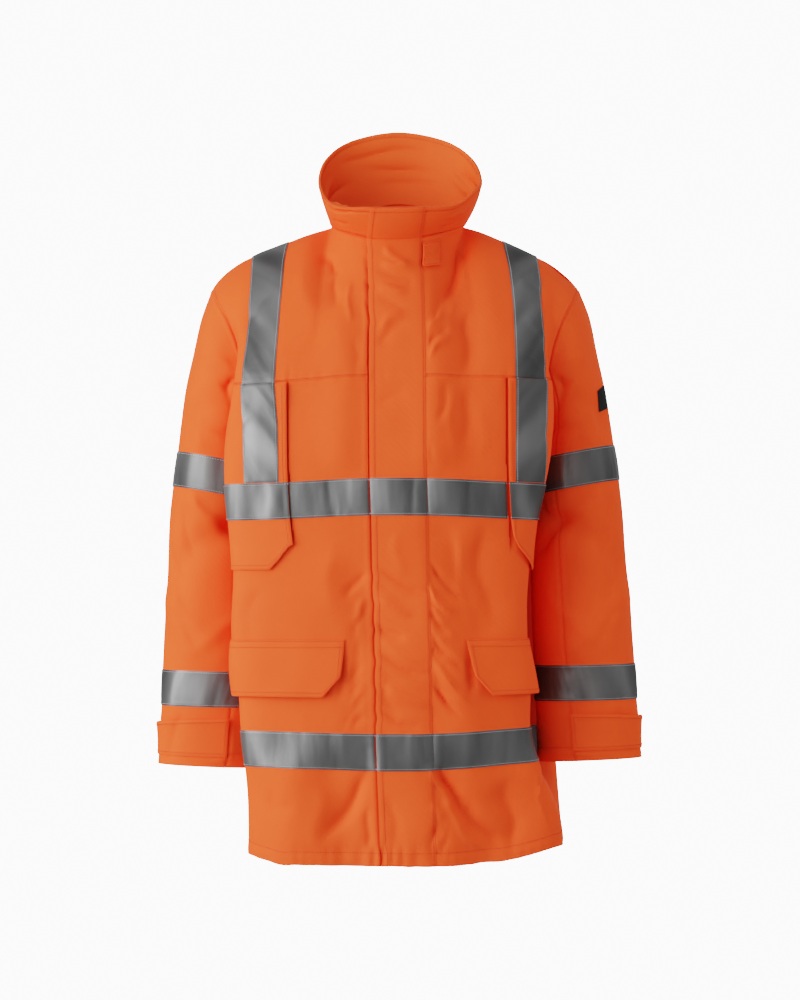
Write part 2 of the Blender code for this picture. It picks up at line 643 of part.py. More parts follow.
# ---------------------------------------------------------------- the shell
def build_shell():
    """Every grid of the shell with its folds, sharing points and normals at seams."""
    fronts = {side: half_grid(side, "front") for side in SIDES}
    backs = {side: half_grid(side, "back") for side in SIDES}
    for side in SIDES:
        backs[side][:ROW_ARMPIT + 1, -1] = fronts[side][:ROW_ARMPIT + 1, -1]
    sleeves = {side: sleeve_grid(side, armhole_loop(side, fronts, backs)) for side in SIDES}
    grids = {}
    for side in SIDES:
        grids["front_" + side] = fronts[side]
        grids["back_" + side] = backs[side]
        grids["sleeve_" + side] = sleeves[side]
    grids["collar"] = collar_grid()
    closed = {name: name.startswith("sleeve") for name in grids}
    normals, _ = shell_normals(grids, closed)
    for name, grid in grids.items():
        kind = name.split("_")[0]
        if kind in ("front", "back"):
            folds = FRONT_FOLDS if kind == "front" else BACK_FOLDS
            height = fold_height(grid[..., 0], grid[..., 2], folds)
            height[:, -1] = 0.0
            height[-1] = 0.0
            height[:, -2] *= 0.5
            grid += normals[name] * height[..., None]
        elif kind == "sleeve":
            rings, turns = np.indices(grid.shape[:2]).astype(float)
            height = fold_height(turns * SLEEVE_GIRTH / grid.shape[1], -rings * SLEEVE_RING_PITCH,
                                 SLEEVE_FOLDS)
            height[0] = 0.0
            height[-1] = 0.0
            grid += normals[name] * height[..., None]
        grid[..., 0] += np.vectorize(lambda z: lean_at(z, "x"))(grid[..., 2])
    normals, mitres = shell_normals(grids, closed)
    return {name: Panel(grids[name], normals[name], mitres[name]) for name in grids}


# ---------------------------------------------------------------- body pieces
def make_back(shell):
    """The back, neck to hem in one piece."""
    back = shell["back_right"].mirrored().joined(shell["back_left"])
    cloth_wall("back", back, ("high", "start", "end"), "cloth_shade")
    return back


def make_fronts(shell):
    """The lower fronts and the yokes above them, meeting at the middle over the zip."""
    for side in SIDES:
        panel = shell["front_" + side]
        edges = ("start", "end", "high")
        cloth_wall("front_" + side, panel.cut(0, ROW_YOKE, 0, COLUMNS), edges)
        cloth_wall("yoke_" + side, panel.cut(ROW_YOKE, ROW_TOP, 0, COLUMNS), edges + ("low",),
                   hold=BENT_HOLD)


def make_collar(shell):
    """The stand collar: outer cloth, and the inside cloth that shows at the neck."""
    collar = shell["collar"]
    edges = ("low", "start", "end")
    cloth_wall("collar_outer", collar, edges, hold=2 * BENT_HOLD)
    cloth_wall("collar_facing", collar, edges, depth=CLOTH + SEAM_GAP, hold=2 * BENT_HOLD)


def make_zip(shell):
    """A plain strip behind the fronts that closes the middle, hem to neck."""
    middle = centre_strip(shell)
    rows = np.arange(0, ROW_TOP + 1)
    strip = on_strip(middle, rows, -ZIP_HALF, ZIP_HALF)
    strip.mitres = np.ones_like(strip.mitres)
    edges = ("high",)
    outer = held_back(strip.moved_out(-CLOTH - SEAM_GAP), edges, ZIP_END)
    inner = held_back(strip.moved_out(-CLOTH - SEAM_GAP - ZIP_WALL), edges, ZIP_END)
    solid("front_zip", outer, inner, "black")


def centre_strip(shell):
    """The front's middle, hem to collar rim, as one panel and its runs from the middle."""
    reach = COLUMN_NECK - 1
    right = shell["front_right"].cut(0, ROW_TOP, 0, reach).mirrored()
    strip = right.joined(shell["front_left"].cut(0, ROW_TOP, 0, reach))
    collar = shell["collar"]
    low = collar.cut(1, COLLAR_STEPS, 0, reach).mirrored()
    last = collar.points.shape[1] - 1
    high = collar.cut(1, COLLAR_STEPS, last - reach, last).mirrored()
    upper = low.joined(high)
    points = np.concatenate((strip.points, upper.points))
    normals = np.concatenate((strip.normals, upper.normals))
    mitres = np.concatenate((strip.mitres, upper.mitres))
    steps = np.linalg.norm(np.diff(points, axis=1), axis=2)
    runs = np.concatenate((np.zeros((len(points), 1)), np.cumsum(steps, axis=1)), axis=1)
    runs -= runs[:, reach:reach + 1]
    return Panel(points, normals, mitres), runs


def on_strip(middle, rows, near, far):
    """Places on the middle strip between two signed distances from the centre line.

    Three or five columns a row; the inner ones follow the strip's own columns, so that
    no facet edge of the strip stands through what lies on it.
    """
    strip, runs = middle
    centre = (runs.shape[1] - 1) // 2
    columns = []
    for row in rows:
        base = int(row)
        part = row - base
        following = min(base + 1, len(runs) - 1)
        mixed = runs[base] * (1 - part) + runs[following] * part
        first, last = np.interp((near, far), mixed, np.arange(len(mixed)))
        if near < 0:
            half = last - centre
            inner = 1.0 if half > 1 + FACET_CLEAR / 2 else half / 2
            columns.append((first, centre - inner, centre, centre + inner, last))
        else:
            facet = math.floor(last - FACET_CLEAR)
            between = facet if facet > first + FACET_CLEAR else (first + last) / 2
            columns.append((first, between, last))
    columns = np.array(columns)
    row_grid = np.repeat(np.asarray(rows, dtype=float)[:, None], columns.shape[1], axis=1)
    return strip.places(row_grid, columns)


def make_storm_flap(shell):
    """The flap over the zip, stitched on the wearer's left and free on the right."""
    middle = centre_strip(shell)
    lift = STORM_FLAP_LIFT * np.linspace(1, 0, 5) ** 2
    rows = np.arange(0, ROW_TOP + COLLAR_STEPS + 1)
    flap = on_strip(middle, rows, -STORM_FLAP_HALF, STORM_FLAP_HALF)
    clear = STORM_FLAP_CLEAR + np.broadcast_to(lift, flap.points.shape[:2])
    trim("storm_flap", flap, clear, FLAP, "cloth")
    over = clear + FLAP + SEAM_GAP
    for name, row in (("lower_tape_storm", ROW_LOWER_TAPE), ("waist_tape_storm", ROW_WAIST_TAPE)):
        trim(name, flap.cut(row, row + 1, 0, 4), over[row:row + 2], TAPE)


# ---------------------------------------------------------------- pockets and tapes
def column_of(panel, row, distance):
    """The fractional column at a distance from the panel's first column."""
    steps = np.linalg.norm(np.diff(panel.points[row], axis=0), axis=1)
    runs = np.concatenate(([0.0], np.cumsum(steps)))
    return float(np.interp(distance, runs, np.arange(len(runs))))


def make_chest_flap(shell, side):
    """A long flap hanging from the yoke seam, with its tapes."""
    panel = shell["front_" + side]
    outer_edge = COLUMN_BRACE + 3
    rows, columns = np.meshgrid(np.arange(ROW_CHEST_FLAP, ROW_YOKE + 1.0),
                                np.arange(COLUMN_FLAP, outer_edge + 1.0), indexing="ij")
    rows[-1] -= FLAP_TUCK
    rows[0] += CHEST_FLAP_CORNER
    rows[1, 0] += CHEST_FLAP_CORNER_ABOVE
    flap = panel.places(rows, columns)
    down = np.clip((ROW_WAIST_TAPE - rows) / (ROW_WAIST_TAPE - ROW_CHEST_FLAP), 0, 1)
    inward = np.clip((outer_edge - columns) / (outer_edge - COLUMN_FLAP), 0, 1)
    lift = CHEST_FLAP_TOP_SHARE + (1 - CHEST_FLAP_TOP_SHARE) * down
    clear = CHEST_FLAP_CLEAR + CHEST_FLAP_LIFT * lift * inward
    trim("chest_flap_" + side, flap, clear, FLAP, "cloth")
    over = clear + FLAP + SEAM_GAP
    waist = ROW_WAIST_TAPE - ROW_CHEST_FLAP
    trim("waist_tape_flap_" + side, flap.cut(waist, waist + 1, 0, flap.points.shape[1] - 1),
         over[waist:waist + 2], TAPE)
    top = flap.points.shape[0] - 1
    brace = flap.cut(waist + 1, top, 1, 3)
    edges = ("low",)
    brace_over = over[waist + 1:top + 1, 1:4]
    outer = held_back(brace.moved_out(brace_over + TAPE), edges, SEAM_GAP)
    inner = held_back(brace.moved_out(brace_over), edges, SEAM_GAP)
    solid("brace_tape_flap_" + side, outer, inner, "tape")


def make_hip_flap(shell, side):
    """A pocket flap that stands off a little at its lower edge."""
    panel = shell["front_" + side]
    inner = HIP_FLAP_INNER[side]
    first, chamfer, last = [column_of(panel, ROW_HIP_FLAP + 1, inner + run)
                            for run in (0.0, HIP_FLAP_CHAMFER, HIP_FLAP_RUN)]
    if abs(chamfer - round(chamfer)) < FACET_CLEAR:
        chamfer = round(chamfer)
    between = [c for c in range(COLUMNS) if chamfer < c < last - FACET_CLEAR]
    spread = [first, chamfer] + between + [last]
    rows, columns = np.meshgrid(np.arange(ROW_HIP_FLAP, ROW_HIP_FLAP + 3.0), spread, indexing="ij")
    rows[0, 0] += HIP_FLAP_CORNER
    rows[1, 0] += HIP_FLAP_CORNER / 4
    flap = panel.places(rows, columns)
    hang = (ROW_HIP_FLAP + 2 - rows) / 2
    share = (columns - first) / (last - first)
    bow = HIP_FLAP_END_SHARE + (1 - HIP_FLAP_END_SHARE) * np.sin(math.pi * share)
    clear = SEAM_GAP * 2 + HIP_FLAP_LIFT * hang * bow
    trim("hip_flap_" + side, flap, clear, FLAP, "cloth")


def make_body_tapes(shell, back):
    """Tapes round the waist and the lower body, and the braces over the shoulders."""
    last = back.points.shape[1] - 1
    for name, row in (("waist_tape", ROW_WAIST_TAPE), ("lower_tape", ROW_LOWER_TAPE)):
        strip = back.cut(row, row + 1, 0, last)
        edges = ("start", "end")
        solid(name + "_back", held_back(strip.moved_out(SEAM_GAP + TAPE), edges),
              held_back(strip.moved_out(SEAM_GAP), edges), "tape")
        for side in SIDES:
            panel = shell["front_" + side]
            inner = column_of(panel, row, STORM_FLAP_HALF + 2 * SEAM_GAP)
            outer = COLUMN_FLAP if name == "waist_tape" else COLUMNS
            between = np.arange(math.ceil(inner + FACET_CLEAR), outer + 1.0)
            rows, columns = np.meshgrid(np.array([row, row + 1.0]),
                                        np.concatenate(([inner], between)), indexing="ij")
            strip = panel.places(rows, columns)
            edges = ("end",)
            gap = SEAM_GAP if name == "waist_tape" else SEAM_HOLD
            solid(name + "_front_" + side,
                  held_back(strip.moved_out(SEAM_GAP + TAPE), edges, gap),
                  held_back(strip.moved_out(SEAM_GAP), edges, gap), "tape")
            if name == "waist_tape":
                far = panel.cut(row, row + 1, COLUMN_BRACE + 3, COLUMNS)
                edges = ("start", "end")
                solid(name + "_side_" + side,
                      held_back(far.moved_out(SEAM_GAP + TAPE), edges),
                      held_back(far.moved_out(SEAM_GAP), edges), "tape")
    for side in SIDES:
        front = shell["front_" + side].cut(ROW_YOKE, ROW_TOP, COLUMN_BRACE, COLUMN_BRACE + 2)
        rear = shell["back_" + side].cut(ROW_WAIST_TAPE + 1, ROW_TOP, COLUMN_BRACE, COLUMN_BRACE + 2)
        points = np.concatenate((front.points, rear.points[-2::-1]))
        normals = np.concatenate((front.normals, rear.normals[-2::-1]))
        mitres = np.concatenate((front.mitres, rear.mitres[-2::-1]))
        brace = Panel(points, normals, mitres)
        edges = ("low", "high")
        solid("brace_tape_" + side, held_back(brace.moved_out(SEAM_GAP + TAPE), edges, SEAM_GAP),
              held_back(brace.moved_out(SEAM_GAP), edges, SEAM_GAP), "tape")


def make_throat_tab(shell):
    """The small ribbed closing tab beside the storm flap, under the collar."""
    middle = centre_strip(shell)
    rows = (ROW_TOP - 2.0, ROW_TOP - 1.0, ROW_TOP - 0.4)
    start = STORM_FLAP_HALF + 2 * SEAM_GAP
    tab = on_strip(middle, rows, start, start + TAB_WIDTH)
    trim("throat_tab", tab, SEAM_GAP * 3, FLAP, "cloth")


# ---------------------------------------------------------------- sleeves
def make_sleeve(shell, side):
    """Outer and under sleeve, two tapes and the cuff strap."""
    ring = shell["sleeve_" + side]
    count = ring.points.shape[1]

    def columns(first, last):
        order = [k % count for k in range(first, last + 1)]
        return Panel(ring.points[:, order], ring.normals[:, order], ring.mitres[:, order])

    edges = ("low", "start", "end")
    cloth_wall("sleeve_outer_" + side, columns(UNDER_HALF, count - UNDER_HALF), edges,
               hold=BENT_HOLD)
    cloth_wall("sleeve_under_" + side, columns(-UNDER_HALF, UNDER_HALF), edges, "cloth_shade")
    for name, row in (("upper", RING_UPPER_TAPE), ("lower", RING_LOWER_TAPE)):
        trim("sleeve_tape_%s_%s" % (name, side), ring.cut(row, row + 1, 0, count - 1),
             SEAM_GAP, TAPE, ring=True)
    strap = columns(UNDER_HALF, count - UNDER_HALF - 2).cut(RING_STRAP, RING_STRAP + 1, 0, count)
    trim("cuff_strap_" + side, strap, SEAM_GAP, STRAP_WALL, "cloth")


def make_label(shell):
    """A bare black label on the outer side of the wearer's left upper sleeve."""
    ring = shell["sleeve_left"]
    rows, columns = np.meshgrid(LABEL_RINGS, LABEL_TURNS, indexing="ij")
    trim("sleeve_label", ring.places(rows, columns), 3 * SEAM_GAP, LABEL_WALL, "black", rough=0.6)


def make_jacket():
    """Every piece of the jacket."""
    for old in list(bpy.data.objects):
        bpy.data.objects.remove(old)
    shell = build_shell()
    back = make_back(shell)
    make_fronts(shell)
    make_collar(shell)
    make_zip(shell)
    make_storm_flap(shell)
    for side in SIDES:
        make_chest_flap(shell, side)
        make_hip_flap(shell, side)
        make_sleeve(shell, side)
    make_body_tapes(shell, back)
    make_throat_tab(shell)
    make_label(shell)


make_jacket()
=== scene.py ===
# %% [markdown]
# # A hi-vis work jacket, hollow and filled out
# This notebook dresses a jacket whose solids are already packed. We first load that packed
# frame: it gives each sewn piece's place, in metres, with the front facing -Y and the
# wearer's left at +X. Everything that we build lies in the same frame, so nothing is fitted.

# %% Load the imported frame
import math

import bpy
import numpy as np
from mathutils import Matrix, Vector


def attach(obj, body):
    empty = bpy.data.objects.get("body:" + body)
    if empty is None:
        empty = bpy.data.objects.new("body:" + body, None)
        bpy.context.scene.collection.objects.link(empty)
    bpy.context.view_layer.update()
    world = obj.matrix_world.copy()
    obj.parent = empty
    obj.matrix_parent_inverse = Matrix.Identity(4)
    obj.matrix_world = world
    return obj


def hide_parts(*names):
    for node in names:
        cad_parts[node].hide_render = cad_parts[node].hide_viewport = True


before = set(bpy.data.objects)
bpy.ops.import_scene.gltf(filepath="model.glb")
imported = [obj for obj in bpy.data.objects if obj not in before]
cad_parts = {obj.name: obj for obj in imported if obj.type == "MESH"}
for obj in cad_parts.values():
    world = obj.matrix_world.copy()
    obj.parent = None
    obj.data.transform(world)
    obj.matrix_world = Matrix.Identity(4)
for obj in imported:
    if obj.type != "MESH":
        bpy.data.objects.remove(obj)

for name in ("Cube", "Light", "Camera"):
    if name in bpy.data.objects:
        bpy.data.objects.remove(bpy.data.objects[name])
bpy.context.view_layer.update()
print(len(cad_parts), "sewn pieces in the frame")

# %% [markdown]
# ## Sizes of the cut
# A jacket is cut from flat pieces, but it is easier to describe filled out: cross sections of
# the body at a few heights, the armhole, the neck seam, the collar rim and the rings of a
# sleeve. These are the sizes of the solids, kept as short tables. Between two rows of a table
# a smooth curve is read, so a fine cloth grid needs no more numbers than a coarse one.

# %% Walls, rows and columns
CLOTH = 0.0014          # wall of the body cloth
TAPE = 0.0008           # wall of the reflective tape
FLAP = 0.0018           # wall of the doubled flaps
GAP = 0.0003            # under a piece that lies on another
TAPE_WIDTH = 0.050
HEM_Z, LOWER_TAPE_Z, WAIST_TAPE_Z = -0.884, -0.7056, -0.362
HIP_FLAP_Z = (-0.579, -0.618, -0.657)
CHEST_FLAP_END_Z, ARMPIT_Z, YOKE_Z = -0.481, -0.290, -0.225
BODY_ROWS = (HEM_Z, -0.842, -0.799, LOWER_TAPE_Z - TAPE_WIDTH, LOWER_TAPE_Z, HIP_FLAP_Z[2],
             HIP_FLAP_Z[1], HIP_FLAP_Z[0], -0.530, CHEST_FLAP_END_Z, -0.446,
             WAIST_TAPE_Z - TAPE_WIDTH, WAIST_TAPE_Z, -0.326, ARMPIT_Z, -0.258, YOKE_Z)
ROW_LOWER_TAPE, ROW_HIP_FLAP, ROW_CHEST_FLAP, ROW_WAIST_TAPE, ROW_ARMPIT = 3, 5, 9, 11, 14
ROW_YOKE = len(BODY_ROWS) - 1
YOKE_STEPS = 8
YOKE_STEP = 0.028       # about how high each of those rows is
ROW_TOP = ROW_YOKE + YOKE_STEPS
COLLAR_STEPS = 4
COLLAR_STEP = 0.034     # about how high each row of the collar is
RUNS = {"front": (0.0, 0.019, 0.038, 0.057, 0.076, 0.112, 0.149, 0.161, 0.185, 0.210),
        "back": (0.0, 0.030, 0.058, 0.084, 0.108, 0.129, 0.146, 0.160, 0.185, 0.210)}
RUN_COLUMNS = len(RUNS["front"]) - 1
EDGE_STEPS = 4
EDGE_STEP = 0.030       # about how wide each of those last steps is
LAST = RUN_COLUMNS + EDGE_STEPS
COLUMN_STORM, COLUMN_NECK, COLUMN_FLAP, COLUMN_BRACE = 2, 5, 6, 7
SIDES = {"right": -1.0, "left": 1.0}
print("body rows", ROW_TOP, "columns", LAST)

# %% Sections of the body
HEM_RISE = {"right": 0.013, "left": 0.024}
HEM_RISE_SHARES = (1.0, 0.6, 0.25, 0.0)
HEM_RISE_X = 0.215
SHOULDER = ((5, 0.094, 0.0), (6, 0.121, -0.0089), (7, 0.150, -0.0206), (8, 0.1755, -0.0311),
            (9, 0.201, -0.0420), (10, 0.219, -0.0512), (11, 0.236, -0.0634),
            (12, 0.250, -0.0765), (13, 0.2585, -0.0880))
BODY_COLUMNS = ("z", "centre_x", "front_y", "edge_y", "side_y", "back_edge_y", "back_y",
                "edge_right", "edge_left", "side_right", "side_left",
                "back_right", "back_left")
BODY = (
    (-0.884, 0.0118, -0.150, -0.090, 0.000, 0.078, 0.137, 0.208, 0.219, 0.214, 0.226, 0.219, 0.234),
    (-0.842, 0.0103, -0.151, -0.093, 0.000, 0.080, 0.137, 0.208, 0.216, 0.208, 0.219, 0.219, 0.231),
    (-0.799, 0.0088, -0.150, -0.098, 0.002, 0.084, 0.136, 0.209, 0.200, 0.199, 0.205, 0.219, 0.228),
    (-0.756, 0.0072, -0.149, -0.103, 0.004, 0.086, 0.134, 0.212, 0.187, 0.184, 0.184, 0.218, 0.225),
    (-0.706, 0.0060, -0.149, -0.105, 0.006, 0.088, 0.132, 0.217, 0.179, 0.181, 0.176, 0.216, 0.219),
    (-0.657, 0.0056, -0.150, -0.106, 0.008, 0.090, 0.130, 0.219, 0.180, 0.181, 0.175, 0.214, 0.213),
    (-0.579, 0.0057, -0.152, -0.107, 0.010, 0.093, 0.128, 0.228, 0.177, 0.180, 0.173, 0.211, 0.208),
    (-0.481, 0.0050, -0.154, -0.108, 0.012, 0.097, 0.126, 0.224, 0.181, 0.180, 0.173, 0.208, 0.205),
    (-0.412, 0.0047, -0.156, -0.109, 0.012, 0.099, 0.126, 0.227, 0.191, 0.180, 0.174, 0.207, 0.204),
    (-0.362, 0.0032, -0.158, -0.110, 0.010, 0.100, 0.126, 0.230, 0.202, 0.182, 0.178, 0.208, 0.206),
    (-0.290, 0.0026, -0.158, -0.108, 0.000, 0.098, 0.126, 0.229, 0.214, 0.198, 0.198, 0.214, 0.214),
    (-0.225, 0.0021, -0.152, -0.104, -0.070, 0.094, 0.124, 0.220, 0.213, 0.2085, 0.2085, 0.218,
     0.218),
)
SQUARENESS = {"front": 2.7, "back": 2.5}
YOKE_START = (0.010, 0.170)
YOKE_END_NECK = (0.020, 0.150)
YOKE_END_SHOULDER = (0.175, 0.035)
YOKE_TURN = (2, 6)
ARMHOLE = (
    (-0.290, 0.1980, 0.000), (-0.258, 0.2015, -0.050), (-0.225, 0.2085, -0.070),
    (-0.197, 0.2135, -0.074), (-0.165, 0.2220, -0.070), (-0.135, 0.2350, -0.060),
    (-0.106, 0.2510, -0.035), (-0.088, 0.2585, 0.000),
)
ARMHOLE_BACK = 1.10
print("body sections", len(BODY))

# %% Collar and sleeve tables
NECK_SEAM = (
    (0, 0.0000, -0.0850, -0.0300), (18, 0.0340, -0.0815, -0.0275), (36, 0.0610, -0.0700, -0.0205),
    (54, 0.0810, -0.0500, -0.0120), (72, 0.0910, -0.0260, -0.0040), (90, 0.0940, 0.0000, 0.0000),
    (120, 0.0860, 0.0360, 0.0130), (150, 0.0520, 0.0640, 0.0330), (180, 0.0000, 0.0750, 0.0450),
)
COLLAR_RIM = (
    (0, 0.0000, -0.1150, 0.0080), (18, 0.0420, -0.1120, 0.0085), (36, 0.0800, -0.0970, 0.0115),
    (54, 0.1020, -0.0730, 0.0250), (72, 0.1125, -0.0490, 0.0440), (90, 0.1157, -0.0150, 0.0640),
    (120, 0.1036, 0.0436, 0.1060), (150, 0.0679, 0.0745, 0.1365), (180, 0.0000, 0.0850, 0.1510),
)
SAG = ((-0.884, 0.0, 0.0), (-0.756, 0.004, 0.009), (-0.706, 0.003, 0.007),
       (-0.600, 0.000, 0.002), (-0.412, -0.006, -0.005), (-0.362, -0.007, -0.005),
       (-0.290, -0.008, -0.003), (-0.225, -0.009, -0.001))
SAG_FROM_MIDDLE = (0.02, 0.20)          # metres from the middle over which the sag sets in
SAG_ENDS = (3, 0.08)                    # columns and metres before the armhole where it ends
TURN_AWAY = {"right": 0.0, "left": 0.010}       # the wearer's left front turns inwards
TURN_FROM_MIDDLE, TURN_BELOW_Z = (0.045, 0.165), (-0.01, -0.09)
TURN_COLUMNS = 2.5                      # the turn ends in this many columns by the side seam
TURN_MORE, TURN_MORE_Z = 0.2, (-0.70, -0.86)    # and is this much stronger at the hem
COLLAR_BELLY = 0.003
COLLAR_MIDDLE_Y = -0.010
# the rim stands higher beside the wearer's left throat: how much, at which angle, how wide
RIM_LIFT, RIM_LIFT_AT, RIM_LIFT_WIDE = 0.011, 58.0, 18.0
SLEEVE_COLUMNS = ("ring", "outer_x", "outer_z", "under_x", "under_z", "mid_y", "half_y")
SLEEVE = (
    (0, 0.2585, -0.088, 0.1980, -0.290, 0.000, 0.076),
    (1, 0.2745, -0.130, 0.2060, -0.303, 0.004, 0.080),
    (2, 0.2855, -0.180, 0.2060, -0.313, 0.008, 0.080),
    (3, 0.2950, -0.224, 0.2020, -0.321, 0.011, 0.079),
    (4, 0.3025, -0.268, 0.1975, -0.328, 0.014, 0.077),
    (5, 0.3090, -0.312, 0.1940, -0.334, 0.016, 0.075),
    (6, 0.3160, -0.361, 0.1915, -0.383, 0.017, 0.070),
    (7, 0.3215, -0.411, 0.1900, -0.429, 0.017, 0.066),
    (8, 0.3250, -0.462, 0.1895, -0.475, 0.016, 0.063),
    (9, 0.3285, -0.514, 0.1895, -0.523, 0.014, 0.060),
    (10, 0.3310, -0.567, 0.1900, -0.572, 0.011, 0.056),
    (11, 0.3335, -0.619, 0.1910, -0.622, 0.008, 0.052),
    (12, 0.3355, -0.669, 0.1920, -0.672, 0.005, 0.048),
    (13, 0.3375, -0.693, 0.1930, -0.697, 0.003, 0.046),
    (14, 0.3400, -0.738, 0.1940, -0.742, 0.001, 0.043),
    (15, 0.3415, -0.751, 0.1945, -0.757, 0.000, 0.042),
)
SLEEVE_SQUARENESS = 2.2
RING_UPPER_TAPE, RING_LOWER_TAPE, RING_STRAP, RING_CUFF = 5, 11, 13, 15
SLEEVE_SETTLES = 4
SLEEVE_DROP = {"right": -0.005, "left": 0.004}
TURNS = 2 * (ROW_TOP - ROW_ARMPIT)      # columns once round a sleeve, from the armpit
UNDER_HALF = 3
UNDER_SPREAD = 22.0
SLEEVE_GIRTH = 0.40
RING_PITCH = 0.045
LEAN = ((-0.884, 0.0), (-0.740, 0.0), (-0.400, -0.0055), (-0.100, -0.006),
        (-0.020, -0.0065), (0.005, -0.003), (0.151, -0.002))
print("sleeve rings", len(SLEEVE), "turns", TURNS)

# %% [markdown]
# ## Folds
# Cloth is judged by its folds. A fold here is a line on a flat drawing of the panel, with a
# width across and a height above the cloth, where minus is a trough. The first tables hold
# the large folds that the solids have as well. The second ones hold the creases that only the
# fine cloth can show, each with a bend sideways and a steeper side, because a real crease is
# never a straight even ridge. Placing them one by one, and not by chance, puts them where a
# jacket of stiff twill really pulls: from the neck, beside the stitched front, at the
# armholes and above the hem.

# %% Large folds
FRONT_FOLDS = (
    (-0.100, -0.020, -0.085, -0.110, 0.022, -0.004),
    (0.085, -0.030, 0.070, -0.130, 0.024, -0.006),
    (-0.190, -0.150, -0.235, -0.200, 0.024, -0.006),
    (0.190, -0.150, 0.225, -0.200, 0.024, -0.006),
    (0.055, -0.110, 0.050, -0.330, 0.022, 0.005),
    (0.100, -0.110, 0.100, -0.330, 0.024, -0.004),
    (-0.070, -0.110, -0.075, -0.330, 0.024, 0.004),
    (-0.060, -0.500, -0.030, -0.570, 0.026, -0.005),
    (0.060, -0.440, 0.110, -0.560, 0.026, -0.005),
    (0.055, -0.560, 0.100, -0.720, 0.028, 0.005),
    (-0.090, -0.760, -0.070, -0.880, 0.028, -0.007),
    (0.060, -0.760, 0.110, -0.880, 0.026, -0.008),
    (0.185, -0.760, 0.217, -0.884, 0.022, 0.006),
    (-0.150, -0.770, -0.155, -0.884, 0.030, 0.006),
)
BACK_FOLDS = (
    (-0.180, -0.140, -0.150, -0.330, 0.028, -0.006),
    (0.180, -0.140, 0.150, -0.330, 0.028, -0.006),
    (-0.080, -0.430, -0.110, -0.700, 0.030, -0.006),
    (0.060, -0.420, 0.100, -0.680, 0.030, -0.006),
    (-0.140, -0.760, -0.130, -0.884, 0.030, 0.007),
    (0.000, -0.740, 0.010, -0.884, 0.034, -0.007),
    (0.140, -0.760, 0.150, -0.884, 0.030, 0.007),
)
SLEEVE_FOLDS = (
    (0.070, -0.070, 0.145, -0.180, 0.022, -0.006),
    (0.070, -0.315, 0.165, -0.390, 0.020, -0.006),
    (0.165, -0.405, 0.070, -0.470, 0.020, 0.005),
    (0.330, -0.330, 0.245, -0.405, 0.022, -0.006),
    (0.330, -0.090, 0.265, -0.200, 0.022, -0.005),
)
print("large folds", len(FRONT_FOLDS) + len(BACK_FOLDS) + len(SLEEVE_FOLDS))

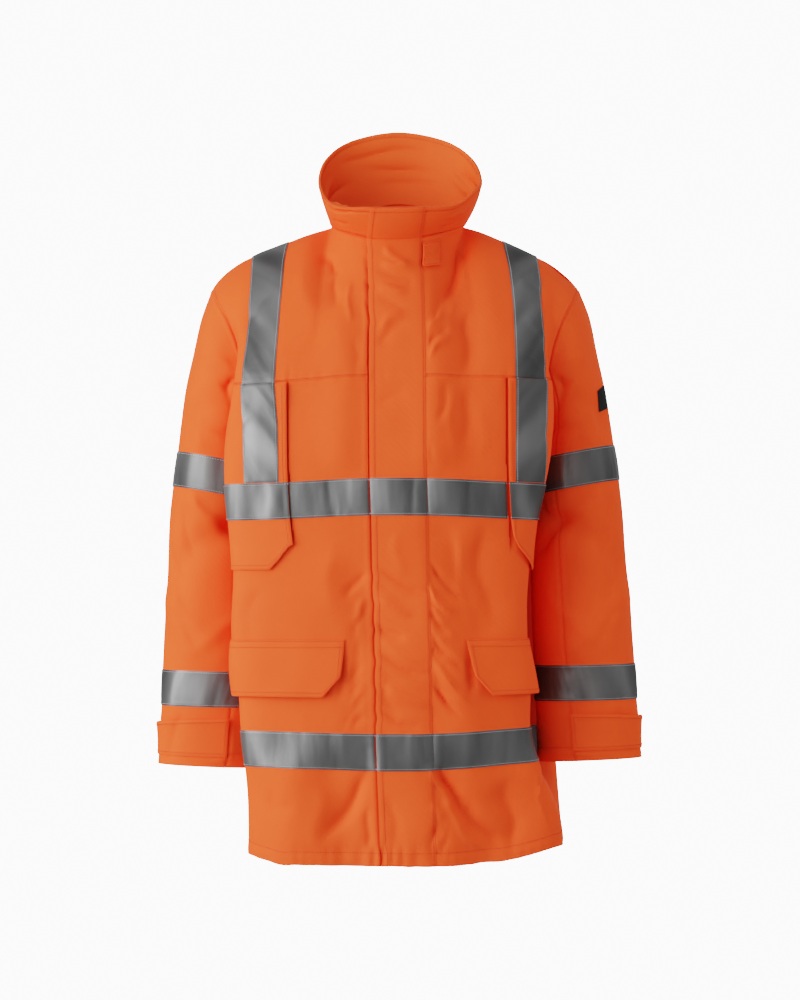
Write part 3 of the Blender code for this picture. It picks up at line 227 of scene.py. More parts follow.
# %% Creases: x1, z1, x2, z2, sideways bend, half width, height, steeper side (-1 to 1)
FRONT_CREASES = (
    (-0.097, -0.040, -0.074, -0.076, 0.003, 0.008, -0.0046, 0.5),
    (-0.077, -0.068, -0.081, -0.132, 0.004, 0.008, -0.0030, 0.3),
    (-0.062, -0.088, -0.062, -0.156, 0.002, 0.006, 0.0026, 0.0),
    (-0.130, -0.060, -0.118, -0.190, -0.006, 0.018, 0.0018, 0.0),
    (-0.052, -0.168, -0.050, -0.226, 0.002, 0.008, -0.0012, 0.0),
    (0.108, -0.014, 0.054, -0.132, -0.004, 0.009, -0.0080, 0.4),
    (0.058, -0.104, 0.050, -0.152, -0.003, 0.006, -0.0026, 0.0),
    (0.079, -0.104, 0.076, -0.172, 0.003, 0.009, 0.0018, 0.0),
    (0.043, -0.202, 0.078, -0.166, -0.003, 0.005, 0.0038, -0.5),
    (0.043, -0.166, 0.070, -0.132, -0.003, 0.005, 0.0028, -0.3),
    (0.043, -0.186, 0.074, -0.152, -0.003, 0.005, -0.0032, 0.3),
    (0.104, -0.120, 0.100, -0.235, 0.004, 0.014, -0.0056, 0.0),
    (0.055, -0.292, 0.068, -0.226, 0.003, 0.006, -0.0030, 0.3),
    (0.077, -0.232, 0.080, -0.350, 0.004, 0.010, 0.0018, 0.0),
    (0.101, -0.232, 0.098, -0.330, 0.003, 0.009, -0.0030, 0.0),
    (0.122, -0.250, 0.117, -0.350, 0.003, 0.013, 0.0012, 0.0),
    (0.044, -0.316, 0.060, -0.352, 0.003, 0.006, -0.0012, 0.3),
    (-0.037, -0.488, -0.072, -0.528, 0.004, 0.005, -0.0030, 0.4),
    (-0.041, -0.520, -0.058, -0.562, 0.003, 0.006, 0.0026, -0.3),
    (-0.039, -0.536, -0.066, -0.590, 0.004, 0.006, -0.0014, 0.4),
    (-0.054, -0.556, -0.056, -0.702, 0.003, 0.010, -0.0018, 0.3),
    (-0.040, -0.660, -0.072, -0.700, 0.003, 0.006, 0.0012, -0.3),
    (-0.092, -0.440, -0.098, -0.560, -0.006, 0.018, 0.0016, 0.0),
    (0.060, -0.425, 0.094, -0.560, -0.010, 0.013, -0.0020, 0.4),
    (0.112, -0.415, 0.134, -0.580, 0.006, 0.021, -0.0064, -0.4),
    (0.082, -0.420, 0.106, -0.585, 0.006, 0.009, 0.0022, 0.0),
    (0.038, -0.740, 0.078, -0.820, 0.003, 0.007, 0.0044, -0.3),
    (0.060, -0.794, 0.122, -0.880, 0.004, 0.008, 0.0044, -0.3),
    (0.050, -0.744, 0.100, -0.822, 0.003, 0.009, -0.0078, 0.4),
    (0.084, -0.790, 0.146, -0.870, 0.004, 0.011, -0.0070, 0.4),
    (0.182, -0.745, 0.205, -0.850, 0.004, 0.005, 0.0034, 0.0),
    (-0.042, -0.800, -0.040, -0.872, 0.002, 0.006, -0.0030, 0.3),
    (0.052, -0.820, 0.042, -0.880, 0.004, 0.005, -0.0024, 0.0),
    (0.066, -0.836, 0.058, -0.884, 0.003, 0.006, -0.0022, 0.3),
    (-0.036, -0.748, -0.112, -0.862, -0.004, 0.012, -0.0064, 0.4),
    (-0.112, -0.765, -0.118, -0.880, -0.006, 0.018, 0.0022, 0.0),
    (-0.180, -0.780, -0.140, -0.812, 0.006, 0.009, -0.0018, 0.3),
    (0.148, -0.760, 0.165, -0.884, 0.006, 0.022, -0.0078, 0.4),
    (0.196, -0.740, 0.204, -0.850, 0.006, 0.010, -0.0030, 0.4),
    (-0.185, -0.500, -0.200, -0.600, 0.008, 0.014, -0.0016, 0.0),
    (-0.180, -0.240, -0.215, -0.330, 0.006, 0.014, -0.0018, 0.3),
    (0.175, -0.235, 0.205, -0.330, -0.006, 0.014, -0.0020, 0.3),
    (-0.165, -0.105, -0.215, -0.160, 0.006, 0.010, -0.0022, 0.4),
    (0.180, -0.080, 0.214, -0.140, -0.006, 0.010, -0.0030, 0.5),
    (0.176, -0.130, 0.212, -0.190, -0.005, 0.009, 0.0022, -0.3),
    (0.170, -0.190, 0.210, -0.225, -0.004, 0.008, -0.0024, 0.4),
)
BACK_CREASES = (
    (-0.190, -0.170, -0.105, -0.250, 0.010, 0.015, -0.0032, 0.4),
    (0.190, -0.165, 0.110, -0.255, -0.010, 0.015, -0.0032, 0.4),
    (-0.180, -0.240, -0.090, -0.335, 0.012, 0.016, 0.0028, 0.0),
    (0.178, -0.245, 0.095, -0.340, -0.012, 0.017, 0.0026, 0.0),
    (-0.070, -0.035, 0.075, -0.040, 0.008, 0.013, -0.0024, 0.3),
    (-0.020, -0.120, -0.030, -0.330, 0.008, 0.024, 0.0022, 0.0),
    (0.050, -0.160, 0.040, -0.345, -0.006, 0.022, -0.0022, 0.0),
    (-0.190, -0.430, -0.110, -0.560, 0.014, 0.016, -0.0034, 0.4),
    (0.185, -0.425, 0.120, -0.550, -0.012, 0.016, -0.0032, 0.4),
    (-0.020, -0.430, -0.035, -0.600, 0.012, 0.020, 0.0032, 0.0),
    (0.020, -0.500, 0.045, -0.690, 0.014, 0.017, -0.0030, 0.3),
    (-0.150, -0.560, -0.165, -0.690, -0.008, 0.018, 0.0028, 0.0),
    (0.150, -0.570, 0.140, -0.690, 0.008, 0.018, 0.0028, 0.0),
    (-0.090, -0.765, -0.080, -0.880, 0.008, 0.015, -0.0036, 0.3),
    (0.070, -0.765, 0.085, -0.880, -0.008, 0.015, -0.0034, 0.3),
    (-0.180, -0.770, -0.190, -0.880, 0.004, 0.014, -0.0026, 0.0),
)
SLEEVE_CREASES = (
    (0.066, -0.012, 0.104, -0.080, 0.004, 0.007, -0.0052, 0.5),
    (0.085, -0.015, 0.160, -0.085, 0.008, 0.011, 0.0026, -0.3),
    (0.040, -0.080, 0.110, -0.175, 0.010, 0.013, -0.0030, 0.4),
    (0.130, -0.150, 0.120, -0.230, 0.006, 0.014, 0.0024, 0.0),
    (0.022, -0.272, 0.082, -0.318, 0.004, 0.010, -0.0060, 0.5),
    (0.092, -0.304, 0.016, -0.356, 0.004, 0.012, -0.0078, 0.4),
    (0.128, -0.272, 0.076, -0.328, 0.004, 0.009, 0.0044, -0.3),
    (0.150, -0.285, 0.110, -0.370, 0.006, 0.012, -0.0030, 0.3),
    (0.180, -0.330, 0.090, -0.430, -0.010, 0.014, -0.0026, 0.3),
    (0.040, -0.400, 0.130, -0.480, 0.012, 0.013, 0.0028, 0.0),
    (0.150, -0.420, 0.080, -0.490, 0.008, 0.012, -0.0028, 0.4),
    (0.210, -0.290, 0.230, -0.440, 0.010, 0.016, -0.0024, 0.0),
    (0.360, -0.300, 0.270, -0.370, 0.012, 0.012, -0.0034, 0.5),
    (0.350, -0.360, 0.260, -0.450, 0.010, 0.013, 0.0028, -0.3),
    (0.340, -0.020, 0.285, -0.120, 0.008, 0.012, -0.0032, 0.4),
    (0.360, -0.070, 0.300, -0.190, 0.010, 0.014, 0.0026, 0.0),
    (0.240, -0.060, 0.250, -0.190, 0.008, 0.016, -0.0022, 0.0),
    (0.120, -0.545, 0.140, -0.670, 0.004, 0.015, -0.0020, 0.0),
    (0.060, -0.550, 0.070, -0.670, 0.004, 0.014, 0.0020, 0.0),
    (0.290, -0.550, 0.280, -0.660, 0.004, 0.015, 0.0020, 0.0),
)
COLLAR_CREASES = (
    (-0.330, 0.118, -0.260, 0.110, 0.002, 0.005, -0.0085, 0.5),
    (-0.320, 0.060, -0.265, 0.040, 0.004, 0.012, -0.0012, 0.5),
    (-0.240, 0.070, -0.110, 0.096, 0.006, 0.008, -0.0030, 0.4),
    (-0.200, 0.046, -0.070, 0.056, -0.006, 0.008, 0.0030, -0.3),
    (-0.110, 0.104, 0.070, 0.108, 0.004, 0.009, 0.0032, 0.3),
    (-0.070, 0.080, 0.080, 0.070, 0.006, 0.009, 0.0034, 0.3),
    (-0.040, 0.038, 0.090, 0.044, -0.004, 0.010, 0.0026, 0.0),
    (0.070, 0.080, 0.200, 0.064, 0.006, 0.008, -0.0048, 0.5),
    (0.090, 0.098, 0.210, 0.090, 0.004, 0.008, 0.0034, -0.3),
    (0.130, 0.036, 0.210, 0.050, 0.006, 0.009, -0.0030, 0.3),
    (0.262, 0.050, 0.322, 0.026, 0.006, 0.008, -0.0020, 0.4),
    (0.270, 0.090, 0.318, 0.076, 0.006, 0.010, 0.0016, 0.0),
)
FLAP_CREASES = (
    (-0.030, -0.076, 0.032, -0.085, 0.002, 0.004, -0.0024, 0.4),
    (-0.022, -0.064, 0.030, -0.071, 0.002, 0.005, 0.0036, 0.2),
    (-0.016, -0.040, 0.020, -0.074, 0.003, 0.005, 0.0036, -0.3),
    (-0.002, -0.100, 0.030, -0.092, 0.002, 0.006, -0.0017, 0.3),
    (-0.026, -0.100, 0.020, -0.104, 0.002, 0.005, 0.0034, 0.3),
    (-0.026, -0.112, 0.020, -0.130, 0.003, 0.005, -0.0016, 0.3),
    (-0.028, -0.186, 0.018, -0.145, -0.003, 0.007, -0.0022, 0.3),
    (-0.024, -0.162, 0.012, -0.134, -0.003, 0.005, 0.0034, 0.3),
    (-0.030, -0.262, 0.016, -0.240, 0.003, 0.008, -0.0014, 0.3),
    (0.000, -0.430, 0.008, -0.500, 0.003, 0.010, 0.0014, 0.0),
    (-0.018, -0.620, 0.000, -0.700, 0.004, 0.010, -0.0017, 0.3),
    (-0.014, -0.780, 0.006, -0.870, 0.004, 0.012, -0.0020, 0.0),
)

# %% Families of fine creases: first start and end, step to the next, count, bend, width, rise
FAMILY_ROWS = (
    (((0.040, -0.470), (0.086, -0.522)), (0.0005, -0.0165), 11, 0.005, 0.0040, 0.0036),
    (((-0.030, -0.478), (0.036, -0.512)), (0.0, -0.0190), 11, 0.006, 0.0040, 0.0030),
    (((0.046, -0.478), (0.076, -0.506)), (0.0, -0.0270), 7, 0.003, 0.0030, 0.0020),
    (((-0.044, -0.610), (-0.068, -0.640)), (-0.001, -0.0180), 5, 0.003, 0.0050, 0.0020),
    (((0.042, -0.768), (0.066, -0.792)), (0.0, -0.0150), 6, 0.002, 0.0045, 0.0022),
)
FAMILY_STEEP = 0.3


def crease_family(first, step, count, bend, width, rise):
    """Rows for fine creases side by side, each a little unlike the one before."""
    rows = []
    for k in range(count):
        start, end = [[v + s * k for v, s in zip(point, step)] for point in first]
        stretch = 1 + 0.35 * math.sin(2.4 * k + 1)
        sign = 1 if k % 3 == 2 else -1
        rows.append((*start, start[0] + (end[0] - start[0]) * stretch,
                     start[1] + (end[1] - start[1]) * stretch, bend,
                     width * (1 + 0.25 * math.sin(1.7 * k)),
                     sign * rise * (0.8 + 0.3 * math.cos(3.1 * k)), FAMILY_STEEP))
    return rows


FAMILIES = tuple(row for family in FAMILY_ROWS for row in crease_family(*family))
print("creases", sum(map(len, (FRONT_CREASES, FAMILIES, BACK_CREASES, SLEEVE_CREASES,
                               COLLAR_CREASES))))

# %% [markdown]
# ## Reading the tables
# A tailor's curve runs smoothly through the sizes at each height. Here each column of a table
# becomes a function: a cubic between two rows, with slopes taken from the rows around them.
# It reads whole arrays at once, which is what makes a grid of thousands of points quick.

# %% Smooth tables
def smooth_table(columns, rows):
    """Reads a named column of a table at any values of its first column."""
    table = np.array(sorted(rows), dtype=float)
    keys, values = table[:, 0], table[:, 1:]
    gaps = np.diff(keys)[:, None]
    rises = np.diff(values, axis=0) / gaps
    inner = (rises[:-1] * gaps[1:] + rises[1:] * gaps[:-1]) / (gaps[:-1] + gaps[1:])
    slopes = np.concatenate((rises[:1], inner, rises[-1:]))

    def read(key, name):
        number = columns.index(name) - 1
        spot = np.clip(key, keys[0], keys[-1])
        k = np.clip(np.searchsorted(keys, spot, side="right") - 1, 0, len(gaps) - 1)
        gap = gaps[k, 0]
        t = (spot - keys[k]) / gap
        rise = values[k + 1, number] - values[k, number]
        start, end = slopes[k, number] * gap, slopes[k + 1, number] * gap
        bend = t * (start + end - 2 * rise)
        return values[k, number] + t * (start + t * (3 * rise - 2 * start - end + bend))

    return read


def mirrored(rows):
    """A table round half a neck, with a row past each middle, so the curve runs on smoothly."""
    before = (-rows[1][0], -rows[1][1], *rows[1][2:])
    after = (360 - rows[-2][0], -rows[-2][1], *rows[-2][2:])
    return (before, *rows, after)


def eased(values, start, end):
    """0 up to start and 1 from end on, with a smooth rise between."""
    share = np.clip((values - start) / (end - start), 0, 1)
    return share * share * (3 - 2 * share)


def bump(values, middle, width):
    """1 at middle, fading away smoothly on both sides of it."""
    return np.exp(-((values - middle) / width) ** 2)


def unit(vectors):
    """Vectors of length one."""
    return vectors / np.maximum(np.linalg.norm(vectors, axis=-1, keepdims=True), 1e-12)


def runs_along(points, axis=0):
    """Metres walked along each line of points, 0 at its first point."""
    steps = np.linalg.norm(np.diff(points, axis=axis), axis=-1)
    return np.insert(np.cumsum(steps, axis=axis), 0, 0.0, axis=axis)


body_at = smooth_table(BODY_COLUMNS, BODY)
armhole_at = smooth_table(("z", "x", "y"), ARMHOLE)
shoulder_at = smooth_table(("column", "x", "z"), SHOULDER)
neck_at = smooth_table(("angle", "x", "y", "z"), mirrored(NECK_SEAM))
rim_at = smooth_table(("angle", "x", "y", "z"), mirrored(COLLAR_RIM))
sleeve_at = smooth_table(SLEEVE_COLUMNS, SLEEVE)
lean_at = smooth_table(("z", "x"), LEAN)
sag_at = smooth_table(("z", "right", "left"), SAG)
print("half width at the waist tape", round(float(body_at(WAIST_TAPE_Z, "edge_right")), 3))

# %% [markdown]
# ## Where the grid lines run
# A grid for cloth needs lines every few millimetres, and closer ones beside a seam, where the
# cloth rolls into it. Rows are numbered from the hem up and columns from the centre line out,
# so that a pocket flap or a tape is a range of row and column numbers, whole or in part.

# %% Row and column numbers
STEP = 0.0048           # metres between two lines, as fine as the triangle budget allows
BESIDE_SEAM = (0.0012, 0.0026, 0.0045, 0.0068, 0.0090)


def grid_lines(lengths, seams):
    """Line numbers with even steps of about STEP, and closer ones on both sides of seams."""
    counted = np.arange(len(lengths) + 1)
    marks = np.concatenate(([0], np.cumsum(lengths)))
    numbers = []
    for k, length in enumerate(lengths):
        count = max(2, math.ceil(length / STEP))
        numbers += [k + n / count for n in range(count)]
    numbers = np.array(numbers + [len(lengths)], dtype=float)
    places = np.interp(numbers, counted, marks)
    for seam in seams:
        here = np.sum(lengths[:seam])
        near = np.abs(places - here) < BESIDE_SEAM[-1] + STEP / 3
        whole = np.abs(numbers - np.round(numbers)) < 1e-9
        places = places[~near | whole]
        numbers = numbers[~near | whole]
        extra = np.array([here + sign * away for sign in (-1, 1) for away in BESIDE_SEAM])
        extra = extra[(extra > 0) & (extra < np.sum(lengths))]
        places = np.concatenate((places, extra))
        numbers = np.concatenate((numbers, np.interp(extra, marks, counted)))
        order = np.argsort(places)
        places, numbers = places[order], numbers[order]
    return numbers


row_lengths = list(np.diff(BODY_ROWS)) + [YOKE_STEP] * YOKE_STEPS
ROWS = grid_lines(row_lengths, (0, ROW_YOKE, ROW_TOP))
column_lengths = list(np.maximum(np.diff(RUNS["front"]), np.diff(RUNS["back"])))
column_lengths += [EDGE_STEP] * EDGE_STEPS
COLUMNS = grid_lines(column_lengths, (COLUMN_STORM, COLUMN_FLAP, LAST))
RINGS = grid_lines([RING_PITCH] * (len(SLEEVE) - 1), (0, RING_CUFF))
COLLAR_ROWS = grid_lines([COLLAR_STEP] * COLLAR_STEPS, (0, COLLAR_STEPS))
print(len(ROWS), "rows,", len(COLUMNS), "columns,", len(RINGS), "rings")

# %% [markdown]
# ## The body, row by row
# A row is one cross section: a squarish curve over the chest or the back, then a short bend
# to the side seam, where the hanging arm presses the body in. Walking along that curve by
# length, and not by angle, keeps each column straight on the cloth, as the weave is.

# %% Rows of the body
SECTION_SAMPLES = 260


def armhole_points(side, face, z):
    """Points of the armhole at some heights, on the front or the back half."""
    depth = armhole_at(z, "y") * (1.0 if face == "front" else -ARMHOLE_BACK)
    return np.stack((SIDES[side] * armhole_at(z, "x"), depth, z + 0 * depth), axis=-1)


def section_line(side, face, z):
    """One row of the body as a fine line from the centre line to its end."""
    sign = SIDES[side]
    if z > ARMPIT_Z + 1e-6:
        end = armhole_points(side, face, z)
    else:
        end = np.array([sign * body_at(z, "side_" + side), body_at(z, "side_y"), z])
    names = {"front": ("edge_" + side, "edge_y", "front_y"),
             "back": ("back_" + side, "back_edge_y", "back_y")}
    wide, edge_y, middle_y = [float(body_at(z, name)) for name in names[face]]
    power = SQUARENESS[face]
    start = math.asin(sign * body_at(z, "centre_x") / wide) if face == "front" else 0.0
    angles = np.linspace(start, math.pi / 2, SECTION_SAMPLES)
    face_x = sign * wide * np.sin(angles)
    squared = (1 - np.abs(np.sin(angles)) ** power) ** (1 / power)
    face_y = edge_y + (middle_y - edge_y) * squared
    steps = np.linspace(0, 1, SECTION_SAMPLES // 2)[1:]
    turn_x = sign * wide + (end[0] - sign * wide) * (1 - np.cos(math.pi * steps)) / 2
    turn_y = edge_y + (end[1] - edge_y) * steps
    x, y = np.concatenate((face_x, turn_x)), np.concatenate((face_y, turn_y))
    return np.stack((x, y, np.full_like(x, z)), axis=1)


def row_points(side, face, z):
    """The grid points of one row of the body."""
    line = section_line(side, face, z)
    runs = runs_along(line)
    steady = np.interp(COLUMNS, np.arange(RUN_COLUMNS + 1), RUNS[face])
    last_run = RUNS[face][-1]
    edge = last_run + (runs[-1] - last_run) * (COLUMNS - RUN_COLUMNS) / EDGE_STEPS
    places = np.where(COLUMNS > RUN_COLUMNS, edge, steady)
    return np.stack([np.interp(places, runs, line[:, axis]) for axis in range(3)], axis=1)


def top_points(side, face):
    """The top edge of a front or back: the neck seam, then the shoulder seam."""
    angle = 90.0 * COLUMNS / COLUMN_NECK
    angle = 180.0 - angle if face == "back" else angle
    on_neck = COLUMNS < COLUMN_NECK
    x = np.where(on_neck, neck_at(angle, "x"), shoulder_at(COLUMNS, "x"))
    y = np.where(on_neck, neck_at(angle, "y"), 0.0)
    z = np.where(on_neck, neck_at(angle, "z"), shoulder_at(COLUMNS, "z"))
    return np.stack((SIDES[side] * x, y, z), axis=1)


def yoke_part(side, face, first_row):
    """Rows from the yoke seam up over the chest or shoulder blades to the top edge."""
    t = ((ROWS[ROWS > ROW_YOKE] - ROW_YOKE) / YOKE_STEPS)[:, None, None]
    top = top_points(side, face)
    forward = -1.0 if face == "front" else 1.0
    over = eased(COLUMNS, *YOKE_TURN)
    pull = eased(COLUMNS, COLUMN_BRACE, LAST)[:, None]
    leave = np.array([0.0, -forward * YOKE_START[0], YOKE_START[1]])
    inward = YOKE_END_NECK[0] + (YOKE_END_SHOULDER[0] - YOKE_END_NECK[0]) * over
    upward = YOKE_END_NECK[1] + (YOKE_END_SHOULDER[1] - YOKE_END_NECK[1]) * over
    arrive = np.stack((np.zeros(len(COLUMNS)), -forward * inward, upward), axis=1)
    held = 2 * t ** 3 - 3 * t ** 2 + 1
    rows = held * first_row + (1 - held) * top
    rows = rows + (t ** 3 - 2 * t ** 2 + t) * leave + (t ** 3 - t ** 2) * arrive
    edge = armhole_points(side, face, YOKE_Z + (ARMHOLE[-1][0] - YOKE_Z) * t[:, 0, 0])
    rows = rows + pull * (edge[:, None] - rows[:, -1:])
    rows[-1] = top
    return rows


def half_grid(side, face):
    """All rows of a half front or half back, hem to top edge."""
    body = ROWS[ROWS <= ROW_YOKE]
    heights = np.interp(body, np.arange(ROW_YOKE + 1), BODY_ROWS)
    grid = np.array([row_points(side, face, z) for z in heights])
    share = np.interp(body, np.arange(len(HEM_RISE_SHARES)), HEM_RISE_SHARES)[:, None]
    grid[..., 2] += HEM_RISE[side] * share * np.minimum(np.abs(grid[..., 0]) / HEM_RISE_X, 1) ** 4
    if face == "front":
        columns, below = SAG_ENDS
        by_armhole = eased(heights, ARMPIT_Z - below, ARMPIT_Z)[:, None]
        seated = 1 - eased(COLUMNS, LAST - columns, LAST) * by_armhole
        sag = sag_at(heights, side)[:, None]
        grid[..., 2] += sag * eased(np.abs(grid[..., 0]), *SAG_FROM_MIDDLE) * seated
    grid = np.concatenate((grid, yoke_part(side, face, grid[-1])))
    if face == "front":
        turn = eased(COLUMNS, LAST, LAST - TURN_COLUMNS) * eased(grid[..., 2], *TURN_BELOW_Z)
        turn = turn * (1 + TURN_MORE * eased(grid[..., 2], *TURN_MORE_Z))
        grid[..., 1] += TURN_AWAY[side] * eased(np.abs(grid[..., 0]), *TURN_FROM_MIDDLE) * turn
    return grid


fronts = {side: half_grid(side, "front") for side in SIDES}
backs = {side: half_grid(side, "back") for side in SIDES}
below_armhole = ROWS <= ROW_ARMPIT
for side in SIDES:
    backs[side][below_armhole, -1] = fronts[side][below_armhole, -1]
print("a half front has", fronts["right"].shape[:2], "points")

# %% [markdown]
# ## Sleeves and collar
# A sleeve starts on the armhole's own points, so it meets the body exactly, and settles into
# rounder rings on its way to the cuff. The stand collar is the strip between the neck seam
# and the rim, bowed out a little at half height. Both share their first line with the body.

# %% Sleeve and collar grids
def sleeve_grid(side):
    """Rings from the armhole to the cuff, and the turn number of each ring column."""
    first = int(np.argmin(np.abs(ROWS - ROW_ARMPIT)))
    loop = np.concatenate((fronts[side][first:, -1], backs[side][first + 1:-1, -1][::-1]))
    up = ROWS[first:] - ROW_ARMPIT
    turns = np.concatenate((up, TURNS - up[1:-1][::-1]))
    row = {name: sleeve_at(RINGS, name)[:, None] for name in SLEEVE_COLUMNS[1:]}
    drop = SLEEVE_DROP[side] * np.minimum(1.0, RINGS / RING_UPPER_TAPE)[:, None]
    angle = 2 * math.pi * turns / TURNS
    angle = angle + math.radians(UNDER_SPREAD) * (RINGS / RING_CUFF)[:, None] * np.sin(angle)
    power = 2 / SLEEVE_SQUARENESS
    cosine = np.sign(np.cos(angle)) * np.abs(np.cos(angle)) ** power
    sine = np.sign(np.sin(angle)) * np.abs(np.sin(angle)) ** power
    x, z = [(row["outer_" + axis] + row["under_" + axis]
             + cosine * (row["under_" + axis] - row["outer_" + axis])) for axis in "xz"]
    x, z = SIDES[side] * x / 2, z / 2 + drop
    rings = np.stack((x, row["mid_y"] - row["half_y"] * sine, z), axis=2)
    fade = np.clip(1 - RINGS / SLEEVE_SETTLES, 0, 1)[:, None, None] ** 2
    return rings + fade * (loop - rings[0]), turns


def collar_grid():
    """The stand collar from the front middle round the wearer's right side and back."""
    half = 90.0 * COLUMNS[COLUMNS <= COLUMN_NECK] / COLUMN_NECK
    angles = np.concatenate((half, 180.0 - half[-2::-1]))
    signs = np.concatenate((np.full(len(angles), -1.0), np.full(len(angles) - 1, 1.0)))
    angles = np.concatenate((angles, angles[-2::-1]))
    seam, rim = [np.stack((signs * at(angles, "x"), at(angles, "y"), at(angles, "z")), axis=1)
                 for at in (neck_at, rim_at)]
    rim[:, 2] += RIM_LIFT * (signs > 0) * bump(angles, RIM_LIFT_AT, RIM_LIFT_WIDE)
    outward = unit((rim - (0.0, COLLAR_MIDDLE_Y, 0.0)) * (1.0, 1.0, 0.0))
    t = (COLLAR_ROWS / COLLAR_STEPS)[:, None, None]
    return seam + (rim - seam) * t + outward * COLLAR_BELLY * 4 * t * (1 - t)


grids = {"collar": collar_grid()}
for side in SIDES:
    grids["front_" + side], grids["back_" + side] = fronts[side], backs[side]
    grids["sleeve_" + side], sleeve_turns = sleeve_grid(side)
# 1 where a grid's cells turn so that they face outwards, -1 where they face inwards
OUTWARD = {
    "front_right": -1, "front_left": 1, "back_right": 1, "back_left": -1,
    "sleeve_right": 1, "sleeve_left": -1, "collar": -1,
}
print("sleeve rings", grids["sleeve_left"].shape[:2], "collar", grids["collar"].shape[:2])

# %% [markdown]
# ## Noise, creases and normals
# Between the creases that we place, no cloth is perfectly even. A smooth noise in space adds
# that: it is the same on both sides of a seam, so neighbouring pieces still meet. The normals
# of all the grids are worked out together for the same reason: a point on a seam gets one
# normal, the mean of every face that touches it, whichever piece the face belongs to.

# %% Noise and creases
def wander(points, size, seed):
    """Smooth noise from -1 to 1 in space, with bumps about size metres wide."""
    spot = points / size + seed * 17.31
    base = np.floor(spot).astype(np.int64)
    part = spot - base
    part = part ** 3 * (part * (part * 6 - 15) + 10)
    total = np.zeros(points.shape[:-1])
    for corner in np.ndindex(2, 2, 2):
        cell = ((base + corner) * (374761393, 668265263, 2147483647)).sum(axis=-1) & 0xFFFFFFFF
        cell = ((cell ^ (cell >> 13)) * 1274126177) & 0xFFFFFFFF
        value = ((cell ^ (cell >> 16)) & 0xFFFF) / 32767.5 - 1
        weight = np.prod(np.where(corner, part, 1 - part), axis=-1)
        total += value * weight
    return total


def fold_height(x, z, folds):
    """Height of straight soft folds at places (x, z) of a flat drawing."""
    height = np.zeros(np.shape(x))
    for x1, z1, x2, z2, width, rise in folds:
        along = ((x - x1) * (x2 - x1) + (z - z1) * (z2 - z1)) / ((x2 - x1) ** 2 + (z2 - z1) ** 2)
        along = np.clip(along, 0, 1)
        away = np.hypot(x - x1 - along * (x2 - x1), z - z1 - along * (z2 - z1))
        height += rise * bump(away, 0, width)
    return height


CREASE_WIDTH, CREASE_RISE = 0.9, 1.3    # share of the tables' widths and heights
CREST = 0.3             # how tight the line of a crease is; a round one would look like clay


def crease_height(x, z, creases):
    """Height of bent creases with fading ends, one side steeper than the other."""
    height = np.zeros(np.shape(x))
    for x1, z1, x2, z2, bend, width, rise, steep in creases:
        run_x, run_z = x2 - x1, z2 - z1
        length = math.hypot(run_x, run_z)
        along = ((x - x1) * run_x + (z - z1) * run_z) / length ** 2
        across = ((x - x1) * run_z - (z - z1) * run_x) / length - bend * 4 * along * (1 - along)
        swing = 0.25 * width * np.sin(9 * along + 40 * x1 + 60 * z2)
        wide = CREASE_WIDTH * width * (1 + 0.6 * steep * np.sign(across + swing))
        wide = wide * (0.8 + 0.4 * np.clip(along, 0, 1))
        ends = eased(along, 0, 0.30) * (1 - eased(along, 0.65, 1.0))
        crest = np.sqrt(((across + swing) / wide) ** 2 + CREST ** 2) - CREST
        height += CREASE_RISE * rise * ends * np.exp(-1.5 * crest)
    return height


def grid_cells(rows, columns, closed):
    """Four point numbers for each cell of a grid; closed joins its last column to its first."""
    spans = columns if closed else columns - 1
    r, c = np.meshgrid(np.arange(rows - 1), np.arange(spans), indexing="ij")
    following = (c + 1) % columns
    return np.stack((r * columns + c, r * columns + following, (r + 1) * columns + following,
                     (r + 1) * columns + c), axis=-1).reshape(-1, 4)


def cell_normals(corners):
    """Cross products of the diagonals of four-cornered cells, twice as long as their areas."""
    return np.cross(corners[:, 2] - corners[:, 0], corners[:, 3] - corners[:, 1])


def shared_normals(all_grids):
    """Normals of every grid, the same on both sides of each seam."""
    names = list(all_grids)
    faces, signs, start = [], [], 0
    for name in names:
        rows, columns = all_grids[name].shape[:2]
        faces.append(grid_cells(rows, columns, name.startswith("sleeve")) + start)
        signs.append(np.full(len(faces[-1]), OUTWARD[name]))
        start += rows * columns
    points = np.concatenate([all_grids[name].reshape(-1, 3) for name in names])
    faces, signs = np.concatenate(faces), np.concatenate(signs)
    _, shared = np.unique(np.round(points * 1e5).astype(np.int64), axis=0, return_inverse=True)
    shared = shared.reshape(-1)
    normal = cell_normals(points[faces]) * signs[:, None]
    sums = np.zeros((shared.max() + 1, 3))
    for corner in range(4):
        np.add.at(sums, shared[faces[:, corner]], normal)
    normals = unit(sums)[shared]
    result, start = {}, 0
    for name in names:
        count = all_grids[name].shape[0] * all_grids[name].shape[1]
        result[name] = normals[start:start + count].reshape(all_grids[name].shape)
        start += count
    return result


print("noise at the origin", round(float(wander(np.zeros((1, 3)), 0.1, 1)[0]), 3))

# %% [markdown]
# ## Folding the cloth
# The large folds fade out one column before a side seam or an armhole, as a seam with its
# four layers of cloth stays flat. Small puckers are the opposite: they sit at the seams, where
# the thread has drawn the cloth in, as short waves across the seam.

# %% Fold every grid
PUCKER_PITCH = 0.017
FRONT_SEAM_X = 0.041    # the stitched seam beside the storm flap
HEM_WAVE, HEM_WAVE_SIZE, HEM_WAVE_ROWS = 0.0026, 0.021, 0.35


